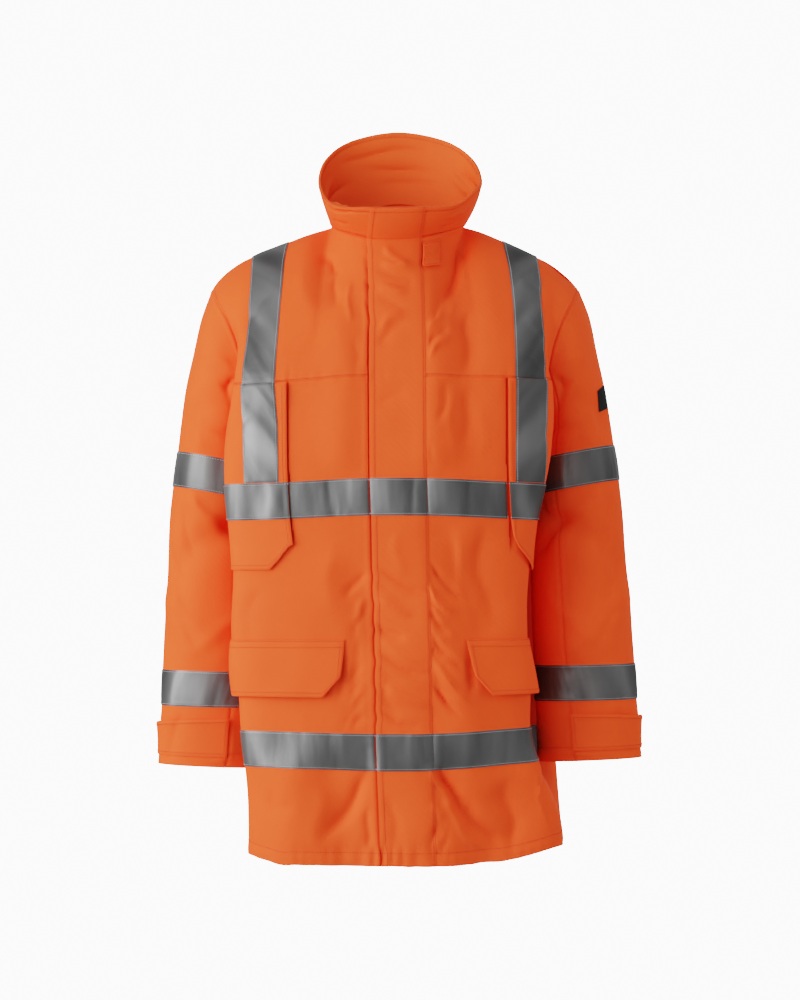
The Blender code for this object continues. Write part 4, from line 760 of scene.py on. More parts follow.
def puckers(run, away, reach, rise, seed):
    """Short uneven waves along a seam, fading away from it."""
    wave = np.sin(2 * math.pi * run / PUCKER_PITCH + 2.5 * np.sin(run * 61 + seed) + seed)
    wave = wave * (0.6 + 0.4 * np.sin(run * 23 + 2 * seed))
    return rise * wave * bump(away, 0, reach)


def row_height(number):
    """Height of a row number of the body."""
    return np.interp(number, np.arange(ROW_YOKE + 1), BODY_ROWS)


def body_height(grid, face):
    """How far the cloth of a half front or half back stands off its plain form."""
    x, z = grid[..., 0], grid[..., 2]
    large = fold_height(x, z, FRONT_FOLDS if face == "front" else BACK_FOLDS)
    fine = crease_height(x, z, {"front": FRONT_CREASES + FLAP_CREASES + FAMILIES,
                                "back": BACK_CREASES}[face])
    from_edge = np.interp(COLUMNS, (LAST - 2, LAST - 1, LAST), (1.0, 0.5, 0.0))
    from_top = np.interp(ROWS, (ROW_TOP - 0.5, ROW_TOP), (1.0, 0.0))
    height = (large + fine) * from_edge * from_top[:, None]
    for row in (ROW_LOWER_TAPE, ROW_LOWER_TAPE + 1, ROW_WAIST_TAPE, ROW_WAIST_TAPE + 1):
        height += puckers(x, z - row_height(row), 0.010, 0.0002, row) * from_edge
    if face == "front":
        height += puckers(x, z - YOKE_Z, 0.009, 0.0005, 2.0) * from_edge
        height += puckers(z, np.abs(x) - FRONT_SEAM_X, 0.009, 0.0003, 5.0) * from_top[:, None]
    height += puckers(x, z - HEM_Z - 0.012, 0.016, 0.0012, 1.0) * from_edge
    return height


def hem_waves(grid):
    """The hem's edge runs a little up and down, as its stitches draw it in."""
    points = grid * (1.0, 1.0, 0.0)
    share = 0.4 + 0.6 * eased(np.abs(grid[..., 0]), 0.02, 0.06)
    waves = HEM_WAVE * share * wander(points, HEM_WAVE_SIZE, 21)
    grid[..., 2] += waves * bump(ROWS[:, None], 0, HEM_WAVE_ROWS)


normals = shared_normals(grids)
for name, grid in grids.items():
    kind = name.split("_")[0]
    if kind in ("front", "back"):
        hem_waves(grid)
        height = body_height(grid, kind)
    elif kind == "sleeve":
        x = np.broadcast_to(sleeve_turns * SLEEVE_GIRTH / TURNS, grid.shape[:2])
        z = np.broadcast_to(-RINGS[:, None] * RING_PITCH, grid.shape[:2])
        ends = np.interp(RINGS, (0, 1, RING_CUFF - 1, RING_CUFF), (0.0, 1.0, 1.0, 0.0))[:, None]
        seam_turns = np.minimum(np.abs(sleeve_turns - UNDER_HALF),
                                np.abs(sleeve_turns - TURNS + UNDER_HALF))
        height = (fold_height(x, z, SLEEVE_FOLDS) + crease_height(x, z, SLEEVE_CREASES)) * ends
        height += puckers(z, seam_turns * SLEEVE_GIRTH / TURNS, 0.010, 0.0005, 3.0) * ends
        height += puckers(x, z, 0.014, 0.0006, 4.0) * eased(RINGS, 0, 0.2)[:, None]
    else:
        runs = runs_along(grid[-1])
        x = np.broadcast_to(runs - runs[-1] / 2, grid.shape[:2])
        z = np.broadcast_to(COLLAR_ROWS[:, None] * COLLAR_STEP, grid.shape[:2])
        inside = np.interp(COLLAR_ROWS, (0, 1, COLLAR_STEPS), (0.0, 1.0, 1.0))[:, None]
        height = crease_height(x, z, COLLAR_CREASES) * inside
    stretched = grid * (1.0, 1.0, 0.55)         # hanging cloth wanders less up and down
    height += 0.0018 * wander(stretched, 0.085, 1) + 0.0005 * wander(stretched, 0.034, 2)
    grid += normals[name] * height[..., None]
for grid in grids.values():
    grid[..., 0] += lean_at(grid[..., 2], "x")
normals = shared_normals(grids)
print("folded", len(grids), "grids")

# %% [markdown]
# ## Panels and walls
# A panel keeps, for every grid point, its place, its normal and its place on the flat cloth
# in metres, which later lets the weave follow the cloth. A sewn piece is a cut of a panel made
# into a closed wall: an outer face, an inner face and a rim. At a seam its outer face rolls
# down into the seam, and beside it stands a little proud, where the seam allowance lies under
# the cloth. That roll, a millimetre deep, is what makes a seam readable from a step away.

# %% Panel
class Panel:
    """A grid of outer points with normals, row and column numbers, and flat places."""

    def __init__(self, points, normals, rows, columns, flat=None):
        self.points, self.normals = points, normals
        self.rows, self.columns = np.asarray(rows, float), np.asarray(columns, float)
        if flat is None:
            across = runs_along(points, axis=1)
            up = np.linalg.norm(np.diff(points, axis=0), axis=2).mean(axis=1)
            up = np.concatenate(([0.0], np.cumsum(up)))
            flat = np.stack((across, np.broadcast_to(up[:, None], across.shape)), axis=2)
        self.flat = flat

    def cut(self, low, high, start, end):
        """The part between two row numbers and two column numbers, ends included."""
        area = np.ix_((self.rows > low - 1e-6) & (self.rows < high + 1e-6),
                      (self.columns > start - 1e-6) & (self.columns < end + 1e-6))
        return Panel(self.points[area], self.normals[area], self.rows[area[0].ravel()],
                     self.columns[area[1].ravel()], self.flat[area])

    def turned(self):
        """The same panel with its columns the other way round and their numbers negative."""
        return Panel(self.points[:, ::-1], self.normals[:, ::-1], self.rows, -self.columns[::-1],
                     self.flat[:, ::-1] * (-1, 1))

    def beside(self, other):
        """This panel with another to its right that shares its last column."""
        return Panel(*[np.concatenate((mine, theirs[:, 1:]), axis=1) for mine, theirs in
                       ((self.points, other.points), (self.normals, other.normals))],
                     self.rows, np.concatenate((self.columns, other.columns[1:])),
                     np.concatenate((self.flat, other.flat[:, 1:]), axis=1))

    def places(self, rows, columns):
        """A new panel at any row and column numbers, read between the grid's points."""
        rows, columns = np.broadcast_arrays(rows, columns)
        r = np.interp(rows, self.rows, np.arange(len(self.rows)))
        c = np.interp(columns, self.columns, np.arange(len(self.columns)))
        low = np.minimum(r.astype(int), len(self.rows) - 2)
        left = np.minimum(c.astype(int), len(self.columns) - 2)
        up, over = (r - low)[..., None], (c - left)[..., None]
        found = []
        for source in (self.points, self.normals, self.flat):
            lower = source[low, left] * (1 - over) + source[low, left + 1] * over
            upper = source[low + 1, left] * (1 - over) + source[low + 1, left + 1] * over
            found.append(lower * (1 - up) + upper * up)
        return Panel(found[0], unit(found[1]), rows[:, 0], columns[0], found[2])

    def moved_out(self, distance):
        """The panel's points moved along their normals; distance may vary."""
        shift = np.broadcast_to(distance, self.points.shape[:2])[..., None]
        return self.points + self.normals * shift


panels = {}
for side in SIDES:
    for face in ("front", "back"):
        name = face + "_" + side
        panels[name] = Panel(grids[name], normals[name], ROWS, COLUMNS)
    name = "sleeve_" + side
    turns = np.concatenate((sleeve_turns - TURNS, sleeve_turns, sleeve_turns + TURNS))
    thrice = [np.tile(source[name], (1, 3, 1)) for source in (grids, normals)]
    panels[name] = Panel(*thrice, RINGS, turns)
collar_columns = np.arange(grids["collar"].shape[1])
panels["collar"] = Panel(grids["collar"], normals["collar"], COLLAR_ROWS, collar_columns)
print(len(panels), "panels")

# %% Walls from grids
EDGES = ("low", "high", "start", "end")
ROLL_DOWN = 0.0013                      # width of the roll down into a seam
ROLL_PROUD = (0.0040, 0.0026)           # where the cloth stands proud beside it, and how wide
ROLL_STITCHES = (0.0075, 0.0014)        # where the stitches draw it down again, and how wide
pieces = {}


def border_distance(points, ring=False, free=()):
    """For each grid point, metres along the cloth to the nearest edge that isn't in free."""
    across, up = runs_along(points, axis=1), runs_along(points)
    ways = {"low": up, "high": up[-1:] - up}
    if not ring:
        ways.update(start=across, end=across[:, -1:] - across)
    return np.min([way for edge, way in ways.items() if edge not in free] or [up + 1.0], axis=0)


def seam_roll(away, depth=0.0009, proud=0.0004):
    """Height beside a seam or a stitched edge: down at the edge, proud, down at the stitches."""
    return (-depth * bump(away, 0, ROLL_DOWN) + proud * bump(away, *ROLL_PROUD)
            - 0.4 * proud * bump(away, *ROLL_STITCHES))


def wall(node, outer, inner, flat, ring=False):
    """A closed wall between an outer and an inner grid of points, with its flat map."""
    rows, columns = outer.shape[:2]
    cell = grid_cells(rows, columns, ring)
    offset = rows * columns
    along = np.arange(columns if ring else columns - 1)
    edges = [np.stack((along, (along + 1) % columns), axis=1)]
    edges.append(edges[0][:, ::-1] + (rows - 1) * columns)
    if not ring:
        up = np.arange(rows - 1) * columns
        edges.append(np.stack((up + columns, up), axis=1))
        edges.append(np.stack((up, up + columns), axis=1) + columns - 1)
    edges = np.concatenate(edges)
    rim = np.stack((edges[:, 1], edges[:, 0], edges[:, 0] + offset, edges[:, 1] + offset), axis=1)
    faces = np.concatenate((cell, cell[:, ::-1] + offset, rim))
    vertices = np.concatenate((outer.reshape(-1, 3), inner.reshape(-1, 3)))
    facing = cell_normals(vertices[cell])
    if (facing * (vertices[cell[:, 0]] - vertices[cell[:, 0] + offset])).sum() < 0:
        faces = faces[:, ::-1]
    mesh = bpy.data.meshes.new("sewn_" + node)
    mesh.from_pydata(vertices.tolist(), [], faces.tolist())
    uv = mesh.uv_layers.new(name="flat")
    uv.data.foreach_set("uv", np.tile(flat.reshape(-1, 2), (2, 1))[faces.ravel()].ravel())
    mesh.shade_smooth()
    mesh.set_sharp_from_angle(angle=SHARP)
    piece = bpy.data.objects.new("sewn_" + node, mesh)
    bpy.context.scene.collection.objects.link(piece)
    width = np.linalg.norm(np.diff(outer, axis=1), axis=2).sum(axis=1).max()
    if ring:
        width += np.linalg.norm(outer[:, 0] - outer[:, -1], axis=1).max()
    length = np.linalg.norm(np.diff(outer, axis=0), axis=2).sum(axis=0).max()
    area = np.linalg.norm(facing, axis=1).sum() / 2
    pieces[node] = {"object": piece, "cut": (float(width), float(length), float(area)),
                    "outer": outer, "inner": inner}


SHARP = math.radians(60)        # a cut edge stays crisp, a fold is shaded smooth
SEAM_ENDS = 0.006       # a seam's roll fades over this length towards a free edge


def hem_roll(away, inset):
    """Height near a hemmed edge: drawn in at its stitches, full between them and the edge."""
    full, drawn_in = bump(away, 0.5 * inset, 0.4 * inset), bump(away, inset, 0.0016)
    return 0.0004 * full - 0.0008 * drawn_in


def cloth_piece(node, panel, free, depth=0.0, groove=0.0, hem=0.0):
    """A cut of the shell itself; edges in free end in the air and keep their full height."""
    away = border_distance(panel.points, free=free)
    sewn = [edge for edge in EDGES if edge not in free]
    ending = eased(border_distance(panel.points, free=sewn), 0, SEAM_ENDS) if free else 1.0
    hemmed_edge = "high" if "high" in free else "low"
    others = [edge for edge in EDGES if edge != hemmed_edge]
    hemmed = hem_roll(border_distance(panel.points, free=others), hem) if hem else 0.0
    sunk = groove - depth
    wall(node, panel.moved_out(seam_roll(away) * ending + sunk + hemmed),
         panel.moved_out(sunk - CLOTH - hemmed), panel.flat)


print("roll beside a seam", [round(1000 * float(seam_roll(d)), 2) for d in (0.0, 0.004, 0.0075)],
      "mm")

# %% [markdown]
# ## Body, sleeves and collar
# Each call below cuts one sewn piece out of the shell: the back in one piece, two lower
# fronts, two yokes above the chest seam, an outer and an under sleeve on each side, and the
# collar's two layers, the outer cloth and the inside that shows at the neck.

# %% Body, sleeves and collar
HEM, COLLAR_HEM = 0.018, 0.007
STORM_FLAP_HALF = 0.038
# how deep the front sinks under the storm flap's free edge, by height
STORM_CHANNEL = ((-0.884, 0.0008), (-0.700, 0.0012), (-0.420, 0.0018), (-0.330, 0.0034),
                 (-0.070, 0.0040), (-0.040, 0.0010))
FLAP_CHANNEL, TAB_CHANNEL = 0.0050, 0.0036      # and under a pocket flap's and the tab's edge
CHANNEL_WIDE, TAB_CHANNEL_WIDE = 0.006, 0.0016  # how far from the edge the front is sunk
HEAP, HEAP_AT, HEAP_WIDE = 0.0006, 0.0060, 0.0030       # it heaps up a little beside the flap
FLAP_TUCK = 0.02        # rows by which a chest flap starts below the yoke seam
TAB_ROWS = (2.0, 0.4)   # the rows of the throat tab, counted down from the neck seam
HIP_FLAP_INNER = {"right": 0.080, "left": 0.090}
HIP_FLAP_SLANT = {"right": 0.007, "left": 0.010}
CHEST_FLAP_SLANT = {"right": -0.15, "left": 0.45}


def chest_slant(rows, side):
    """Columns by which a chest flap's free edge leans outward at row numbers."""
    down = np.clip((ROW_YOKE - rows) / (ROW_YOKE - ROW_CHEST_FLAP), 0, 1)
    return CHEST_FLAP_SLANT[side] * down ** 3


def hip_hang(rows):
    """How far down a hip flap a row number is, 0 at its sewn edge and 1 at its free one."""
    return np.clip((ROW_HIP_FLAP + 2 - rows) / 2, 0, 1)


def edge_channel(panel, side):
    """The front sinks under the free edges that lie on it, most under the storm flap."""
    run, z = panel.flat[..., 0], panel.points[..., 2]
    rows = panel.rows[:, None]
    sink = np.zeros(run.shape)
    if side == "right":
        beside = run - STORM_FLAP_HALF
        depth = np.interp(z, *zip(*STORM_CHANNEL))
        sink += depth * np.where(beside < 0.0016, bump(np.minimum(beside, 0), 0, CHANNEL_WIDE), 0.0)
        sink -= HEAP * bump(beside, HEAP_AT, HEAP_WIDE)
    under = np.array([np.interp(COLUMN_FLAP + chest_slant(row, side), panel.columns, line)
                      for row, line in zip(panel.rows, run)])[:, None] - run
    held = eased(rows, ROW_CHEST_FLAP + 0.6, ROW_CHEST_FLAP + 1.4) * (rows < ROW_YOKE - FLAP_TUCK)
    sink += FLAP_CHANNEL * held * np.where(
        under < 0.0018, bump(np.minimum(under, 0), 0, CHANNEL_WIDE), 0.0)
    under = run - HIP_FLAP_INNER[side] - HIP_FLAP_SLANT[side] * hip_hang(rows)
    held = (eased(ROW_HIP_FLAP + 2.0 - rows, 0.1, 1.2)
            * eased(rows, ROW_HIP_FLAP - 0.2, ROW_HIP_FLAP + 0.5))
    sink += FLAP_CHANNEL * held * bump(under, 0.001, CHANNEL_WIDE)
    if side == "left":
        held = (rows > ROW_TOP - TAB_ROWS[0] - 0.1) * (rows < ROW_TOP - TAB_ROWS[1])
        sink += TAB_CHANNEL * held * bump(run - STORM_FLAP_HALF, 0.0008, TAB_CHANNEL_WIDE)
    return -sink


back_panel = panels["back_right"].turned().beside(panels["back_left"])
cloth_piece("back", back_panel, ("low",), hem=HEM)
for side in SIDES:
    front = panels["front_" + side]
    lower, yoke = front.cut(0, ROW_YOKE, 0, LAST), front.cut(ROW_YOKE, ROW_TOP, 0, LAST)
    cloth_piece("front_" + side, lower, ("low",), groove=edge_channel(lower, side), hem=HEM)
    cloth_piece("yoke_" + side, yoke, (), groove=edge_channel(yoke, side))
    sleeve = panels["sleeve_" + side]
    for part, start, end in (("outer_", UNDER_HALF, TURNS - UNDER_HALF),
                             ("under_", -UNDER_HALF, UNDER_HALF)):
        cloth_piece("sleeve_" + part + side, sleeve.cut(0, RING_CUFF, start, end), ("high",),
                    hem=HEM)
for part, depth in (("outer", 0.0), ("facing", CLOTH + GAP)):
    cloth_piece("collar_" + part, panels["collar"], ("high", "start", "end"), depth=depth,
                hem=COLLAR_HEM)
print(len(pieces), "large pieces")

# %% [markdown]
# ## Flaps and tapes lie on the panels
# A flap or a tape is made from the points of the panel under it, moved out, so it follows
# every fold of that panel. The flaps have free edges: they are doubled cloth, stand off a
# little where nothing holds them, and that gap gives the thin dark line along a pocket or
# beside the front closing. The tapes are sewn down flat, but their silvery film is stiffer
# than cloth and crinkles, which is why it gets its own small waves.

# %% Lines for a piece that lies on a panel
BESIDE_EDGE = (0.0008, 0.0020, 0.0040, 0.0060, 0.0080)


def spread(start, end, length, step=0.0035):
    """Line numbers from start to end with even steps, and closer ones at both edges."""
    even = np.linspace(0, 1, max(3, math.ceil(length / step) + 1))
    near = np.array([0.0, *BESIDE_EDGE]) / length
    near = near[near < 0.45]
    apart = 0.3 * step / length
    even = even[(even > near[-1] + apart) & (even < 1 - near[-1] - apart)]
    return start + (end - start) * np.concatenate((near, even, 1 - near[::-1]))


def laid_piece(node, panel, clear, thick, ring=False, depth=0.0007, proud=0.0002):
    """A piece on a panel: clear above it, which may vary, and thick at its middle."""
    away = border_distance(panel.points, ring=ring)
    outer = panel.moved_out(clear + thick + seam_roll(away, depth, proud))
    wall(node, outer, panel.moved_out(clear), panel.flat, ring)


CRINKLE, CRINKLE_SIZE, CRINKLE_EDGE = 0.0004, 0.016, 0.009
# the brace tape's bands of painted shade and painted highlight, and its bumps, turn with this angle
BRACE_BANDS = math.radians(57)          # a brace tape's soft bands run this far up from level


def tape_clear(panel, under=0.0):
    """Height of a tape over what it lies on: sewn down at its edges, crinkled between."""
    away = border_distance(panel.points)
    waves = wander(panel.points * (1.0, 1.0, 0.25), CRINKLE_SIZE, 7)
    return under + GAP + CRINKLE * (1 + 0.7 * waves) * (1 - bump(away, 0, CRINKLE_EDGE))


def tape_piece(node, panel, under=0.0, ring=False):
    """A reflective tape on a panel, or on something that stands under high on the panel."""
    if "brace" in node:
        sine, cosine = math.sin(BRACE_BANDS), math.cos(BRACE_BANDS)
        panel.flat = panel.flat @ np.array([[sine, cosine], [-cosine, sine]])
    laid_piece(node, panel, tape_clear(panel, under), TAPE, ring, depth=0.0004, proud=0.0001)


print("lines across a tape", len(spread(0, 1, TAPE_WIDTH)))

# %% The storm flap over the zip, and what lies on the middle
STORM_FLAP_LIFT, STORM_FLAP_CLEAR, STORM_SEWN_THIN = 0.0018, 0.0003, 0.0013
ZIP_BULGE = 0.0016      # the zip under the flap makes its middle stand higher
STRIP_REACH = 4
STRIP_STEADY = 24       # passes that even out the strip's normals, for a straight free edge
TAB_WIDTH, TAB_LENGTH, TAB_FROM_FLAP = 0.030, 0.040, 0.0014
TAB_HANG = 0.0022       # how far the tab's lower end stands off
TAB_RIB = 0.0026        # hook and loop tape is ribbed; drawn a little coarser than it is
middle = panels["front_right"].cut(0, ROW_TOP, 0, STRIP_REACH).turned().beside(
    panels["front_left"].cut(0, ROW_TOP, 0, STRIP_REACH))
reach = int(np.sum(COLUMNS <= STRIP_REACH + 1e-9))


def collar_middle(grid):
    """The part of a collar grid above the middle strip, from the right to the left."""
    return np.concatenate((grid[1:, :reach][:, ::-1], grid[1:, -reach:][:, ::-1][:, 1:]), axis=1)


strip_rows = np.concatenate((middle.rows, ROW_TOP + COLLAR_ROWS[1:]))
strip = Panel(np.concatenate((middle.points, collar_middle(grids["collar"]))),
              np.concatenate((middle.normals, collar_middle(normals["collar"]))),
              strip_rows, middle.columns)
for _ in range(STRIP_STEADY):
    strip.normals[1:-1] = (strip.normals[:-2] + 2 * strip.normals[1:-1] + strip.normals[2:]) / 4
strip.normals = unit(strip.normals)
strip_runs = strip.flat[..., 0] - strip.flat[:, reach - 1:reach, 0]


def on_strip(rows, offsets):
    """Places on the middle strip at row numbers and signed distances from the centre line."""
    spots = np.interp(rows, strip.rows, np.arange(len(strip.rows)))
    low = np.minimum(spots.astype(int), len(strip.rows) - 2)
    part = (spots - low)[:, None]
    runs = strip_runs[low] * (1 - part) + strip_runs[low + 1] * part
    columns = np.array([np.interp(offsets, row, strip.columns) for row in runs])
    return strip.places(np.repeat(rows[:, None], len(offsets), axis=1), columns)


def storm_clear(panel, offsets):
    """How far the storm flap stands off: sewn at the wearer's left, free at the right."""
    share = 1 - (offsets + STORM_FLAP_HALF) / (2 * STORM_FLAP_HALF)
    gape = 1 + 0.35 * wander(panel.points, 0.05, 11)
    over_zip = ZIP_BULGE * np.sin(math.pi * share)
    return STORM_FLAP_CLEAR + STORM_FLAP_LIFT * share ** 2 * gape + over_zip


def storm_wall(offsets):
    """The flap's thickness, which thins out where it is sewn down."""
    return FLAP - STORM_SEWN_THIN * bump(offsets, STORM_FLAP_HALF, 0.006)


offsets = spread(-STORM_FLAP_HALF, STORM_FLAP_HALF, 2 * STORM_FLAP_HALF)
flap = on_strip(strip.rows, offsets)
laid_piece("storm_flap", flap, storm_clear(flap, offsets), storm_wall(offsets), depth=0.0002)
for node, row in (("lower_tape_storm", ROW_LOWER_TAPE), ("waist_tape_storm", ROW_WAIST_TAPE)):
    part = on_strip(spread(row, row + 1, TAPE_WIDTH), offsets)
    tape_piece(node, part, storm_clear(part, offsets) + storm_wall(offsets))
tab_start = STORM_FLAP_HALF + TAB_FROM_FLAP
tab_rows = spread(ROW_TOP - TAB_ROWS[0], ROW_TOP - TAB_ROWS[1], TAB_LENGTH, 0.0005)
tab = on_strip(tab_rows, spread(tab_start, tab_start + TAB_WIDTH, TAB_WIDTH))
ribs = 0.0005 * np.sin(2 * math.pi * tab.points[..., 2] / TAB_RIB)
hang = (tab_rows[-1] - tab_rows[:, None]) / (TAB_ROWS[0] - TAB_ROWS[1])
laid_piece("throat_tab", tab, 2 * GAP + TAB_HANG * hang ** 2,
           FLAP + ribs * (border_distance(tab.points) > 0.003))
print("storm flap", [round(v, 3) for v in pieces["storm_flap"]["cut"]])

# %% Chest and hip pocket flaps
CHEST_FLAP_CLEAR, CHEST_FLAP_LIFT, CHEST_FLAP_TOP_SHARE = 0.0006, 0.0050, 0.35
CHEST_FLAP_END = 10
CHEST_FLAP_WIDTH, CHEST_FLAP_LENGTH, BRACE_ON_FLAP = 0.088, 0.256, 0.135
# rows by which the flap's lower end rises at column numbers, for its cut corner
CHEST_FLAP_CORNER = {"right": ((6, 0.95), (7, 0.52), (7.7, 0.0)),
                     "left": ((6, 1.30), (7, 0.62), (7.9, 0.0))}
HIP_FLAP_LIFT, HIP_FLAP_END_SHARE, HIP_FLAP_BELLY = 0.008, 0.9, 0.003
HIP_FLAP_RUN, HIP_FLAP_CHAMFER, HIP_FLAP_CORNER = 0.165, 0.024, 0.70
HIP_FLAP_LENGTH = 0.078
BRACE_SHIFT = {
    "right": ((12, -0.09), (14, -0.03), (16, 0.17), (19.5, 0.12), (24, 0.0)),
    "left": ((12, -0.18), (16, -0.10), (19.5, 0.15), (21.5, 0.18), (24, 0.0)),
}


def brace_shift(rows, side):
    """How many columns a brace tape lies off its two columns, which aren't quite straight."""
    marks, shifts = zip(*BRACE_SHIFT[side])
    return np.interp(rows, marks, shifts)


def lean_share(rows, columns, side):
    """Column numbers of a chest flap, leaning outward at its free edge."""
    share = CHEST_FLAP_END - COLUMN_FLAP
    return columns + chest_slant(rows, side) * (CHEST_FLAP_END - columns) / share


def front_runs(panel, row):
    """Metres from the centre line along one row of a front."""
    return runs_along(panel.cut(row, row, 0, LAST).points[0])


def chest_clear(rows, columns, points):
    """How far a chest flap stands off at row and column numbers."""
    down = np.clip((ROW_WAIST_TAPE - rows) / (ROW_WAIST_TAPE - ROW_CHEST_FLAP), 0, 1)
    inward = np.clip((CHEST_FLAP_END - columns) / (CHEST_FLAP_END - COLUMN_FLAP), 0, 1)
    lift = CHEST_FLAP_TOP_SHARE + (1 - CHEST_FLAP_TOP_SHARE) * down
    gape = 0.0016 * bump(rows - ROW_YOKE, -0.6, 0.5) * inward ** 3
    wave = 1 + 0.35 * wander(points, 0.06, 13)
    return CHEST_FLAP_CLEAR + CHEST_FLAP_LIFT * lift * inward * wave + gape


for side in SIDES:
    front = panels["front_" + side]
    base_rows = spread(ROW_CHEST_FLAP, ROW_YOKE - FLAP_TUCK, CHEST_FLAP_LENGTH)[:, None]
    across = spread(COLUMN_FLAP, CHEST_FLAP_END, CHEST_FLAP_WIDTH)[None]
    corner = np.interp(across, *zip(*CHEST_FLAP_CORNER[side]))
    rows = base_rows + corner * np.clip((ROW_WAIST_TAPE - base_rows) / 2, 0, 1)
    flap = front.places(rows, lean_share(base_rows, across, side))
    laid_piece("chest_flap_" + side, flap, chest_clear(rows, across, flap.points), FLAP)
    waist_rows = spread(ROW_WAIST_TAPE, ROW_WAIST_TAPE + 1, TAPE_WIDTH)[:, None]
    brace_rows = spread(ROW_WAIST_TAPE + 1.02, ROW_YOKE - FLAP_TUCK, BRACE_ON_FLAP)[:, None]
    brace_across = spread(COLUMN_BRACE, COLUMN_BRACE + 2, TAPE_WIDTH)[None]
    for node, rows, columns, placed in (
            ("waist_tape_flap_", waist_rows, across, lean_share(waist_rows, across, side)),
            ("brace_tape_flap_", brace_rows, brace_across,
             brace_across + brace_shift(brace_rows, side))):
        part = front.places(rows, placed)
        tape_piece(node + side, part, chest_clear(rows, columns, part.points) + FLAP)

    runs = front_runs(front, ROW_HIP_FLAP + 1)
    marks = HIP_FLAP_INNER[side] + np.array([0.0, HIP_FLAP_CHAMFER, HIP_FLAP_RUN])
    first, chamfer, last = np.interp(marks, runs, COLUMNS)
    base_rows = spread(ROW_HIP_FLAP, ROW_HIP_FLAP + 2, HIP_FLAP_LENGTH)[:, None]
    places = spread(0, HIP_FLAP_RUN, HIP_FLAP_RUN)
    across = np.interp(places + marks[0], runs, COLUMNS)[None]
    hang = hip_hang(base_rows)
    corner = np.interp(across, (first, chamfer), (HIP_FLAP_CORNER, 0.0))
    rows = base_rows + corner * hang ** 2
    slanted = places + marks[0] + HIP_FLAP_SLANT[side] * hang * (1 - places / HIP_FLAP_RUN)
    flap = front.places(rows, np.interp(slanted, runs, COLUMNS))
    share = (across - first) / (last - first)
    bow = HIP_FLAP_END_SHARE + (1 - HIP_FLAP_END_SHARE) * np.sin(math.pi * share)
    wave = 1 + 0.3 * wander(flap.points, 0.05, 17)
    belly = HIP_FLAP_BELLY * np.sin(math.pi * hang) * share ** 3
    lift = HIP_FLAP_LIFT * hip_hang(rows) * bow * wave
    laid_piece("hip_flap_" + side, flap, 2 * GAP + lift + belly, FLAP)
print("hip flap", [round(v, 3) for v in pieces["hip_flap_right"]["cut"]])

# %% Tapes on the body and the sleeves, cuff straps and the label
STRAP_WALL, LABEL_WALL = 0.0020, 0.0008
STRAP_RISE = {"right": 0.30, "left": 0.22}      # the strap's end by the seam stands higher
STRAP_STAND = 0.0036    # how far the strap's upper edge stands off
BESIDE_STORM_FLAP = {"right": 0.0016, "left": 2 * GAP}  # from the flap to a front tape
LABEL_RINGS, LABEL_TURNS = (3.0, 3.78), (7.35, 8.8)
for node, row in (("waist_tape", ROW_WAIST_TAPE), ("lower_tape", ROW_LOWER_TAPE)):
    rows = spread(row, row + 1, TAPE_WIDTH)[:, None]
    tape_piece(node + "_back", back_panel.places(rows, spread(-LAST, LAST, 0.47)[None]))
    for side in SIDES:
        front = panels["front_" + side]
        inner = float(np.interp(STORM_FLAP_HALF + BESIDE_STORM_FLAP[side],
                                front_runs(front, row), COLUMNS))
        outer = {"waist_tape": COLUMN_FLAP - 0.05, "lower_tape": LAST - 0.01}[node]
        tape_piece(node + "_front_" + side, front.places(rows, spread(inner, outer, 0.16)[None]))
        if node == "waist_tape":
            tape_piece("waist_tape_side_" + side,
                       front.places(rows, spread(CHEST_FLAP_END + 0.01, LAST, 0.11)[None]))
for side in SIDES:
    across = spread(COLUMN_BRACE, COLUMN_BRACE + 2, TAPE_WIDTH)[None]
    rows = spread(ROW_YOKE + 0.01, ROW_TOP, 0.21)[:, None]
    front = panels["front_" + side].places(rows, across + brace_shift(rows, side))
    rows = spread(ROW_TOP, ROW_WAIST_TAPE + 1.01, 0.36)[:, None]
    shift = brace_shift(ROW_TOP, side) * eased(rows, ROW_YOKE, ROW_TOP)
    rear = panels["back_" + side].places(rows, across + shift)
    brace = Panel(np.concatenate((front.points, rear.points[1:])),
                  np.concatenate((front.normals, rear.normals[1:])),
                  np.arange(len(front.rows) + len(rear.rows) - 1), across[0])
    tape_piece("brace_tape_" + side, brace)
    sleeve = panels["sleeve_" + side]
    for part, ring in (("upper_", RING_UPPER_TAPE), ("lower_", RING_LOWER_TAPE)):
        band = sleeve.places(spread(ring, ring + 1, TAPE_WIDTH)[:, None], sleeve_turns[None])
        tape_piece("sleeve_tape_" + part + side, band, ring=True)
    strap_turns = spread(UNDER_HALF + 0.05, TURNS - UNDER_HALF - 2, 0.18)[None]
    up = spread(1, 0, 0.045)[:, None]
    rise = STRAP_RISE[side] * eased(strap_turns, TURNS / 2, UNDER_HALF)
    strap = sleeve.places(RING_STRAP + 1 - up * (1 + rise), strap_turns)
    laid_piece("cuff_strap_" + side, strap, GAP + STRAP_STAND * up ** 2, STRAP_WALL)
label = panels["sleeve_left"].places(spread(*LABEL_RINGS, 0.033)[:, None],
                                     spread(*LABEL_TURNS, 0.026)[None])
laid_piece("sleeve_label", label, 3 * GAP, LABEL_WALL, depth=0.0003, proud=0.0)
print(len(pieces), "pieces")

# %% [markdown]
# ## Topstitching with Geometry Nodes
# Stitches repeat along a path, which is what Geometry Nodes are good at. For each thread we
# lay its seam lines on the finished surfaces as loose edges that remember which way is up,
# and one small node tree walks along them and sets a short bead at each pitch. The beads are
# made real and joined into one plain mesh, so nothing depends on instances afterwards.

